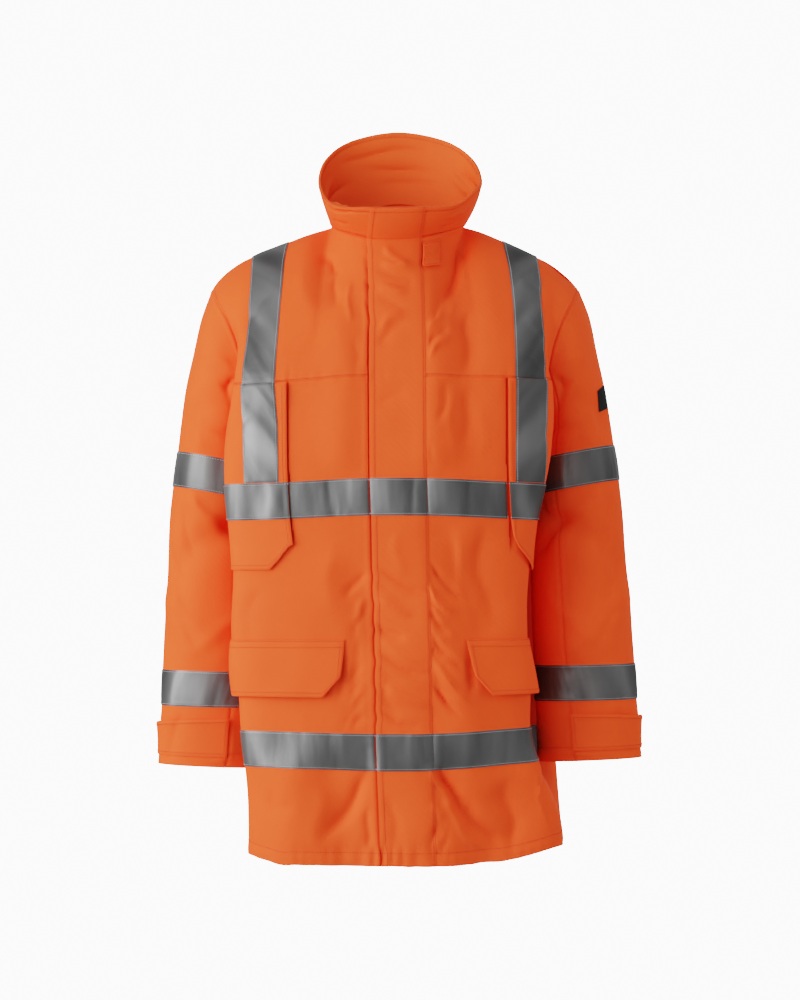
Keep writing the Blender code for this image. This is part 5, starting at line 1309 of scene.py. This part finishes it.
# %% Seam lines
STITCH_PITCH, STITCH_LENGTH, STITCH_WIDTH = 0.0036, 0.0028, 0.0010
EDGE_STITCH, FLAP_STITCH, TAB_STITCH = 0.0030, 0.0060, 0.0025   # metres in from an edge
STRAP_STITCH, TAPE_STITCH, CUFF_STITCH = 0.0050, 0.0024, 0.020
STORM_STITCH, COLLAR_STITCH = 0.0072, 0.006


def seam_line(node, edge, inset, trim=0.0, face="outer"):
    """A line of points on a piece, inset metres from one of its edges, and their normals."""
    outer, inner = pieces[node]["outer"], pieces[node]["inner"]
    if face == "inner":
        outer, inner = inner, outer
    up = unit(outer - inner)
    if edge in ("start", "end"):
        outer, up = outer.transpose(1, 0, 2), up.transpose(1, 0, 2)
    if edge in ("high", "end"):
        outer, up = outer[::-1], up[::-1]
    runs = runs_along(outer)
    line, ups = [np.array([[np.interp(inset, runs[:, c], source[:, c, axis]) for axis in range(3)]
                           for c in range(outer.shape[1])]) for source in (outer, up)]
    along = runs_along(line)
    kept = (along >= trim) & (along <= along[-1] - trim)
    return line[kept], ups[kept]


def around(node, inset, edges=EDGES):
    """Seam lines inside several edges of a piece, which stop at each other."""
    return [seam_line(node, edge, inset, inset) for edge in edges]


def seam_lines(*wanted):
    """Seam lines that run from end to end: node, edge and inset of each."""
    return [seam_line(*each) for each in wanted]


orange_seams = seam_lines(("back", "low", HEM), ("collar_outer", "high", COLLAR_STITCH),
                          ("collar_facing", "high", COLLAR_HEM, 0.0, "inner"),
                          ("storm_flap", "start", STORM_STITCH),
                          ("storm_flap", "end", EDGE_STITCH), ("storm_flap", "low", HEM),
                          ("storm_flap", "high", COLLAR_STITCH))
orange_seams += around("throat_tab", TAB_STITCH)
for side, back_edge in (("right", "start"), ("left", "end")):
    hip_flap, sleeve = "hip_flap_" + side, "sleeve_outer_" + side
    orange_seams += seam_lines(("front_" + side, "low", HEM), ("yoke_" + side, "low", EDGE_STITCH),
                               ("yoke_" + side, "end", EDGE_STITCH),
                               ("back", back_edge, EDGE_STITCH))
    orange_seams += around("chest_flap_" + side, FLAP_STITCH, ("low", "start"))
    orange_seams += around(hip_flap, FLAP_STITCH, ("low", "start", "end"))
    orange_seams += seam_lines((hip_flap, "high", 0.002), (hip_flap, "high", 0.0105))
    orange_seams += around("cuff_strap_" + side, STRAP_STITCH)
    orange_seams += seam_lines((sleeve, "start", EDGE_STITCH), (sleeve, "end", EDGE_STITCH),
                               (sleeve, "high", CUFF_STITCH),
                               ("sleeve_under_" + side, "high", CUFF_STITCH))
grey_seams = []
for node in pieces:
    if "tape" in node:
        long_edges = ("start", "end") if "brace" in node else ("low", "high")
        grey_seams += seam_lines(*[(node, edge, TAPE_STITCH) for edge in long_edges])
print(len(orange_seams), "orange seams and", len(grey_seams), "grey ones")

# %% The stitch tree
def add_node(tree, kind, settings=None, **inputs):
    """Adds a node, sets its own settings, and fills or links its inputs by name or number."""
    node = tree.nodes.new(kind)
    for key, value in (settings or {}).items():
        setattr(node, key, value)
    for key, value in inputs.items():
        key = key.replace("_", " ")
        numbered = key[:1] == "i" and key[1:].isdigit()
        socket = node.inputs[int(key[1:]) if numbered else key]
        if isinstance(value, bpy.types.NodeSocket):
            tree.links.new(value, socket)
        else:
            socket.default_value = value
    return node


def stitch_tree():
    """Beads at an even pitch along loose edges, standing on the stored up direction."""
    tree = bpy.data.node_groups.new("Topstitching", "GeometryNodeTree")
    new_socket = tree.interface.new_socket
    new_socket("Seam lines", in_out="INPUT", socket_type="NodeSocketGeometry")
    for label, value in (("Pitch", STITCH_PITCH), ("Stitch length", STITCH_LENGTH),
                         ("Thread width", STITCH_WIDTH)):
        socket = new_socket(label, in_out="INPUT", socket_type="NodeSocketFloat")
        socket.default_value = value
    new_socket("Thread", in_out="INPUT", socket_type="NodeSocketMaterial")
    new_socket("Stitches", in_out="OUTPUT", socket_type="NodeSocketGeometry")
    given = add_node(tree, "NodeGroupInput").outputs
    curve = add_node(tree, "GeometryNodeMeshToCurve", Mesh=given["Seam lines"])
    dots = add_node(tree, "GeometryNodeResampleCurve", {"mode": "LENGTH"},
                    Curve=curve.outputs["Curve"], Length=given["Pitch"])
    tangent = add_node(tree, "GeometryNodeInputTangent")
    up = add_node(tree, "GeometryNodeInputNamedAttribute", {"data_type": "FLOAT_VECTOR"},
                  Name="up")
    along = add_node(tree, "FunctionNodeAlignRotationToVector", {"axis": "X"},
                     Vector=tangent.outputs["Tangent"])
    turned = add_node(tree, "FunctionNodeAlignRotationToVector",
                      {"axis": "Z", "pivot_axis": "X"},
                      Rotation=along.outputs["Rotation"], Vector=up.outputs["Attribute"])
    bead = add_node(tree, "GeometryNodeMeshIcoSphere", Radius=0.5, Subdivisions=1)
    size = add_node(tree, "ShaderNodeCombineXYZ", X=given["Stitch length"], Y=given["Thread width"],
                    Z=given["Thread width"])
    placed = add_node(tree, "GeometryNodeInstanceOnPoints", Points=dots.outputs["Curve"],
                      Instance=bead.outputs["Mesh"], Rotation=turned.outputs["Rotation"],
                      Scale=size.outputs["Vector"])
    real = add_node(tree, "GeometryNodeRealizeInstances", Geometry=placed.outputs["Instances"])
    smooth = add_node(tree, "GeometryNodeSetShadeSmooth", Geometry=real.outputs["Geometry"])
    done = add_node(tree, "GeometryNodeSetMaterial", Geometry=smooth.outputs["Geometry"],
                    Material=given["Thread"])
    add_node(tree, "NodeGroupOutput", Stitches=done.outputs["Geometry"])
    return tree


THREAD_LIFT = 0.0001    # the beads' middles stand this far off the cloth


def sew(name, seams, tree, thread):
    """One plain mesh of all the stitches along some seam lines."""
    points = np.concatenate([line for line, _ in seams])
    ups = np.concatenate([up for _, up in seams])
    edges, start = [], 0
    for line, _ in seams:
        edges += [(start + k, start + k + 1) for k in range(len(line) - 1)]
        start += len(line)
    mesh = bpy.data.meshes.new(name + "_lines")
    mesh.from_pydata((points + ups * THREAD_LIFT).tolist(), edges, [])
    stored = mesh.attributes.new("up", "FLOAT_VECTOR", "POINT")
    stored.data.foreach_set("vector", ups.ravel())
    lines = bpy.data.objects.new(name + "_lines", mesh)
    bpy.context.scene.collection.objects.link(lines)
    modifier = lines.modifiers.new("Topstitching", "NODES")
    modifier.node_group = tree
    for socket in tree.interface.items_tree:
        if socket.in_out == "INPUT" and socket.name == "Thread":
            modifier[socket.identifier] = thread
    evaluated = lines.evaluated_get(bpy.context.evaluated_depsgraph_get())
    plain = bpy.data.meshes.new_from_object(evaluated)
    plain.name = name
    stitches = bpy.data.objects.new(name, plain)
    bpy.context.scene.collection.objects.link(stitches)
    bpy.data.objects.remove(lines)
    return stitches


print("stitch pitch", 1000 * STITCH_PITCH, "mm")

# %% [markdown]
# ## Finishes
# Hi-vis twill is polyester dyed with a fluorescent orange. It gives back more light than a
# plain dye, looks lighter where it faces the light and turns to red in the folds, where the
# light has met the cloth several times. The tape is a woven strip coated with minute glass
# beads on aluminium: grey and almost matt from the side, silvery where it faces the light.
# Two silvers, mixed in soft bands across the strip, are painted shade and painted highlight for its
# bent and its flat places.
# Each pattern is sized from the real thing in millimetres: the twill's ribs are half a
# millimetre apart, too fine to show here, so they are drawn coarser, at one millimetre.

# %% Colours and material helpers
RIB = 0.0011            # drawn pitch of the twill's ribs
# the tape's two silvers are painted shade and painted highlight, mixed in bands on the tape
COLOURS = {"orange": "#f4582c", "facing": "#ee5c2e", "thread": "#c4381c",
           "silver": "#474747", "bright_silver": "#767676", "grey_thread": "#a3a6a8",
           "black": "#1b1b1c", "zip": "#20201f", "sheen": "#ff9a60",
           "floor": "#000000"}      # the floor only glows, so its own colour is none


def linear(code):
    """Linear colour of an sRGB hex code."""
    parts = [int(code[k:k + 2], 16) / 255 for k in (1, 3, 5)]
    return (*[v / 12.92 if v <= 0.04045 else ((v + 0.055) / 1.055) ** 2.4 for v in parts], 1.0)


def new_material(name, colour, roughness, **settings):
    """A Principled material, its tree, its shader and a place for a bump."""
    material = bpy.data.materials.new(name)
    material.use_nodes = True
    tree = material.node_tree
    shader = tree.nodes["Principled BSDF"]
    shader.inputs["Base Color"].default_value = linear(COLOURS[colour])
    shader.inputs["Roughness"].default_value = roughness
    for key, value in settings.items():
        shader.inputs[key.replace("_", " ")].default_value = value
    return material, tree, shader


def cloth_material(name, colour, sheen):
    """Dyed twill: ribs and a slub as bump on the flat map, and a faint mottle in the dye."""
    material, tree, shader = new_material(name, colour, 0.78, Sheen_Weight=sheen,
                                          Sheen_Roughness=0.5, Specular_IOR_Level=0.30)
    shader.inputs["Sheen Tint"].default_value = linear(COLOURS["sheen"])
    flat = add_node(tree, "ShaderNodeUVMap", {"uv_map": "flat"}).outputs["UV"]
    place = add_node(tree, "ShaderNodeTexCoord").outputs["Object"]
    ribs = add_node(tree, "ShaderNodeTexWave", {"bands_direction": "DIAGONAL"}, Vector=flat,
                    Scale=1 / (RIB * 20 * math.sqrt(2)) * 2, Distortion=1.2, Detail=2.0,
                    Detail_Scale=40.0)
    slub = add_node(tree, "ShaderNodeTexNoise", Vector=place, Scale=420.0, Detail=3.0,
                    Roughness=0.6)
    rumple = add_node(tree, "ShaderNodeTexNoise", Vector=place, Scale=55.0, Detail=2.0,
                      Roughness=0.5)
    fine = add_node(tree, "ShaderNodeMath", {"operation": "MULTIPLY_ADD"}, i0=slub.outputs["Fac"],
                    i1=0.8,
                    i2=ribs.outputs["Fac"])
    weave = add_node(tree, "ShaderNodeBump", Strength=0.15, Distance=0.00022,
                     Height=fine.outputs["Value"])
    soft = add_node(tree, "ShaderNodeBump", Strength=0.35, Distance=0.0012,
                    Height=rumple.outputs["Fac"],
                    Normal=weave.outputs["Normal"])
    tree.links.new(soft.outputs["Normal"], shader.inputs["Normal"])
    mottle = add_node(tree, "ShaderNodeTexNoise", Vector=place, Scale=14.0, Detail=4.0,
                      Roughness=0.6)
    shade = add_node(tree, "ShaderNodeMix", {"data_type": "RGBA"}, i0=mottle.outputs["Fac"])
    colour = linear(COLOURS[colour])
    shade.inputs[6].default_value = (*[v * 0.93 for v in colour[:3]], 1.0)
    shade.inputs[7].default_value = (*[min(1.0, v * 1.06) for v in colour[:3]], 1.0)
    tree.links.new(shade.outputs[2], shader.inputs["Base Color"])
    return material


def tape_material():
    """Glass bead tape: part metal, with soft bands of painted shade and painted highlight across
    it, and bumps, where the strip has bent.
    """
    material, tree, shader = new_material("glass bead reflective tape", "silver", 0.48,
                                          Metallic=0.55)
    flat = add_node(tree, "ShaderNodeUVMap", {"uv_map": "flat"}).outputs["UV"]
    place = add_node(tree, "ShaderNodeTexCoord").outputs["Object"]
    long_way = add_node(tree, "ShaderNodeVectorMath", {"operation": "MULTIPLY"}, i0=flat,
                        i1=(1.0, 0.22, 1.0))
    bands = add_node(tree, "ShaderNodeTexNoise", Vector=long_way.outputs["Vector"], Scale=27.0,
                     Detail=1.6,
                     Roughness=0.4, Distortion=0.3)
    film = add_node(tree, "ShaderNodeTexNoise", Vector=place, Scale=45.0, Detail=2.0, Roughness=0.5)
    beads = add_node(tree, "ShaderNodeTexNoise", Vector=place, Scale=900.0, Detail=1.0)
    # the soft bands mix the darker and the lighter silver into the base colour: painted shade and
    # painted highlight for the bent and the flat places of the strip
    painted_reflection_share = add_node(tree, "ShaderNodeMath", {"operation": "MULTIPLY_ADD", "use_clamp": True},
                       i0=bands.outputs["Fac"], i1=2.2, i2=-0.6)
    shade = add_node(tree, "ShaderNodeMix", {"data_type": "RGBA"}, i0=painted_reflection_share.outputs["Value"])
    shade.inputs[6].default_value = linear(COLOURS["silver"])
    shade.inputs[7].default_value = linear(COLOURS["bright_silver"])
    tree.links.new(shade.outputs[2], shader.inputs["Base Color"])
    wave = add_node(tree, "ShaderNodeBump", Strength=0.8, Distance=0.010,
                    Height=bands.outputs["Fac"])
    crinkle = add_node(tree, "ShaderNodeBump", Strength=0.3, Distance=0.0010,
                       Height=film.outputs["Fac"],
                       Normal=wave.outputs["Normal"])
    grain = add_node(tree, "ShaderNodeBump", Strength=0.08, Distance=0.0002,
                     Height=beads.outputs["Fac"],
                     Normal=crinkle.outputs["Normal"])
    tree.links.new(grain.outputs["Normal"], shader.inputs["Normal"])
    return material


finishes = {
    "hi_vis_cloth": cloth_material("fluorescent orange twill", "orange", 0.05),
    "collar_facing": cloth_material("brushed orange facing", "facing", 0.10),
    "reflective_tape": tape_material(),
    "label": new_material("black woven ribbon", "black", 0.7)[0],
    "zip_tape": new_material("black polyester zip tape", "zip", 0.75)[0],
    "thread": new_material("orange polyester thread", "thread", 0.6)[0],
    "grey_thread": new_material("grey polyester thread", "grey_thread", 0.6)[0],
}
print(len(finishes), "finishes")

# %% [markdown]
# ## Handing the pieces over
# Each piece gets its finish, moves with the one body of the jacket and stands for its own solid.

# %% Finishes and bodies
def slot_of(node):
    """The record's material slot of a node."""
    if "tape" in node:
        return "reflective_tape"
    return {"sleeve_label": "label", "collar_facing": "collar_facing"}.get(node, "hi_vis_cloth")


for node, made in pieces.items():
    piece = made["object"]
    piece.data.materials.append(finishes[slot_of(node)])
    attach(piece, "root")
    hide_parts(node)
tree = stitch_tree()
for name, seams, thread in (("topstitching_orange", orange_seams, "thread"),
                            ("topstitching_grey", grey_seams, "grey_thread")):
    stitches = sew(name, seams, tree, finishes[thread])
    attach(stitches, "root")
    print(name, len(stitches.data.polygons), "faces")
zip_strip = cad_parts["front_zip"]
zip_strip = bpy.data.objects[zip_strip] if isinstance(zip_strip, str) else zip_strip
for slot in zip_strip.material_slots:
    slot.material = finishes["zip_tape"]

# %% [markdown]
# ## Studio
# The jacket hangs in the air as if worn, over a pale floor. A large soft key light stands at
# the front left, so the right side and the right sleeve fall off into a deeper red. Four
# weaker lights lift the front, the far side, the shoulders and the back, and a white surround
# fills the shadows. The camera stands 3.1 metres away at waist height.

# %% Floor, lights and camera
EYE = (0.0, -3.1, -0.5095)
FOCAL_PIXELS, FRAME_HEIGHT, SENSOR = 2196.0, 1000.0, 36.0
HORIZON_BELOW = 88.0    # pixels from the middle of the frame down to eye level
FLOOR_Z = -1.45
PAPER_WHITE = 5.0       # how bright the surround looks, past white
FILL = 0.38             # how much light it gives


def look_at(thing, target):
    """Turns a camera or a light towards a point."""
    thing.rotation_euler = (Vector(target) - thing.location).to_track_quat("-Z", "Y").to_euler()


camera_data = bpy.data.cameras.new("camera")
camera_data.lens = FOCAL_PIXELS / FRAME_HEIGHT * SENSOR
camera_data.sensor_width = SENSOR
camera_data.shift_y = HORIZON_BELOW / FRAME_HEIGHT
camera = bpy.data.objects.new("camera", camera_data)
camera.location = EYE
bpy.context.scene.collection.objects.link(camera)
look_at(camera, (0.0, 0.0, EYE[2]))
bpy.context.scene.camera = camera


def soft_light(name, place, size, power, target=(0, 0, -0.45)):
    """A large square light that looks at the jacket."""
    data = bpy.data.lights.new(name, "AREA")
    data.shape, data.size, data.energy = "SQUARE", size, power
    lamp = bpy.data.objects.new(name, data)
    lamp.location = place
    bpy.context.scene.collection.objects.link(lamp)
    look_at(lamp, target)
    return lamp


soft_light("key", (-2.5, -1.6, -0.15), 2.1, 94.0)
soft_light("front", (-1.1, -2.7, -0.35), 1.0, 14.0)
soft_light("side", (3.2, -0.4, -0.2), 1.8, 38.0).visible_glossy = False
soft_light("top", (-0.3, -1.0, 2.2), 2.0, 14.0)
soft_light("rear", (0.4, 3.2, 0.6), 2.4, 42.0).visible_glossy = False

floor_mesh = bpy.data.meshes.new("floor")
FLOOR_HALF = 12.0
floor_mesh.from_pydata([(x * FLOOR_HALF, y * FLOOR_HALF, FLOOR_Z) for x,
                        y in ((-1, -1), (1, -1), (1, 1), (-1, 1))],
                       [], [(0, 1, 2, 3)])
floor = bpy.data.objects.new("floor", floor_mesh)
bpy.context.scene.collection.objects.link(floor)
floor_finish, _, floor_shader = new_material("white studio floor", "floor", 0.9)
floor_shader.inputs["Emission Color"].default_value = (1.0, 1.0, 1.0, 1.0)
floor_shader.inputs["Emission Strength"].default_value = PAPER_WHITE
floor_mesh.materials.append(floor_finish)
floor.visible_diffuse = floor.visible_glossy = False
world = bpy.data.worlds.new("white surround")
world.use_nodes = True
surround = world.node_tree
surround.nodes.clear()
seen = add_node(surround, "ShaderNodeBackground", Color=(1, 1, 1, 1), Strength=PAPER_WHITE)
fill = add_node(surround, "ShaderNodeBackground", Color=(1, 1, 1, 1), Strength=FILL)
straight = add_node(surround, "ShaderNodeLightPath").outputs["Is Camera Ray"]
both = add_node(surround, "ShaderNodeMixShader", i0=straight, i1=fill.outputs["Background"],
                i2=seen.outputs["Background"])
add_node(surround, "ShaderNodeOutputWorld", Surface=both.outputs["Shader"])
bpy.context.scene.world = world
bpy.context.scene.view_settings.view_transform = "Filmic"
bpy.context.scene.view_settings.look = "High Contrast"
print("lens", round(camera_data.lens, 1), "mm")
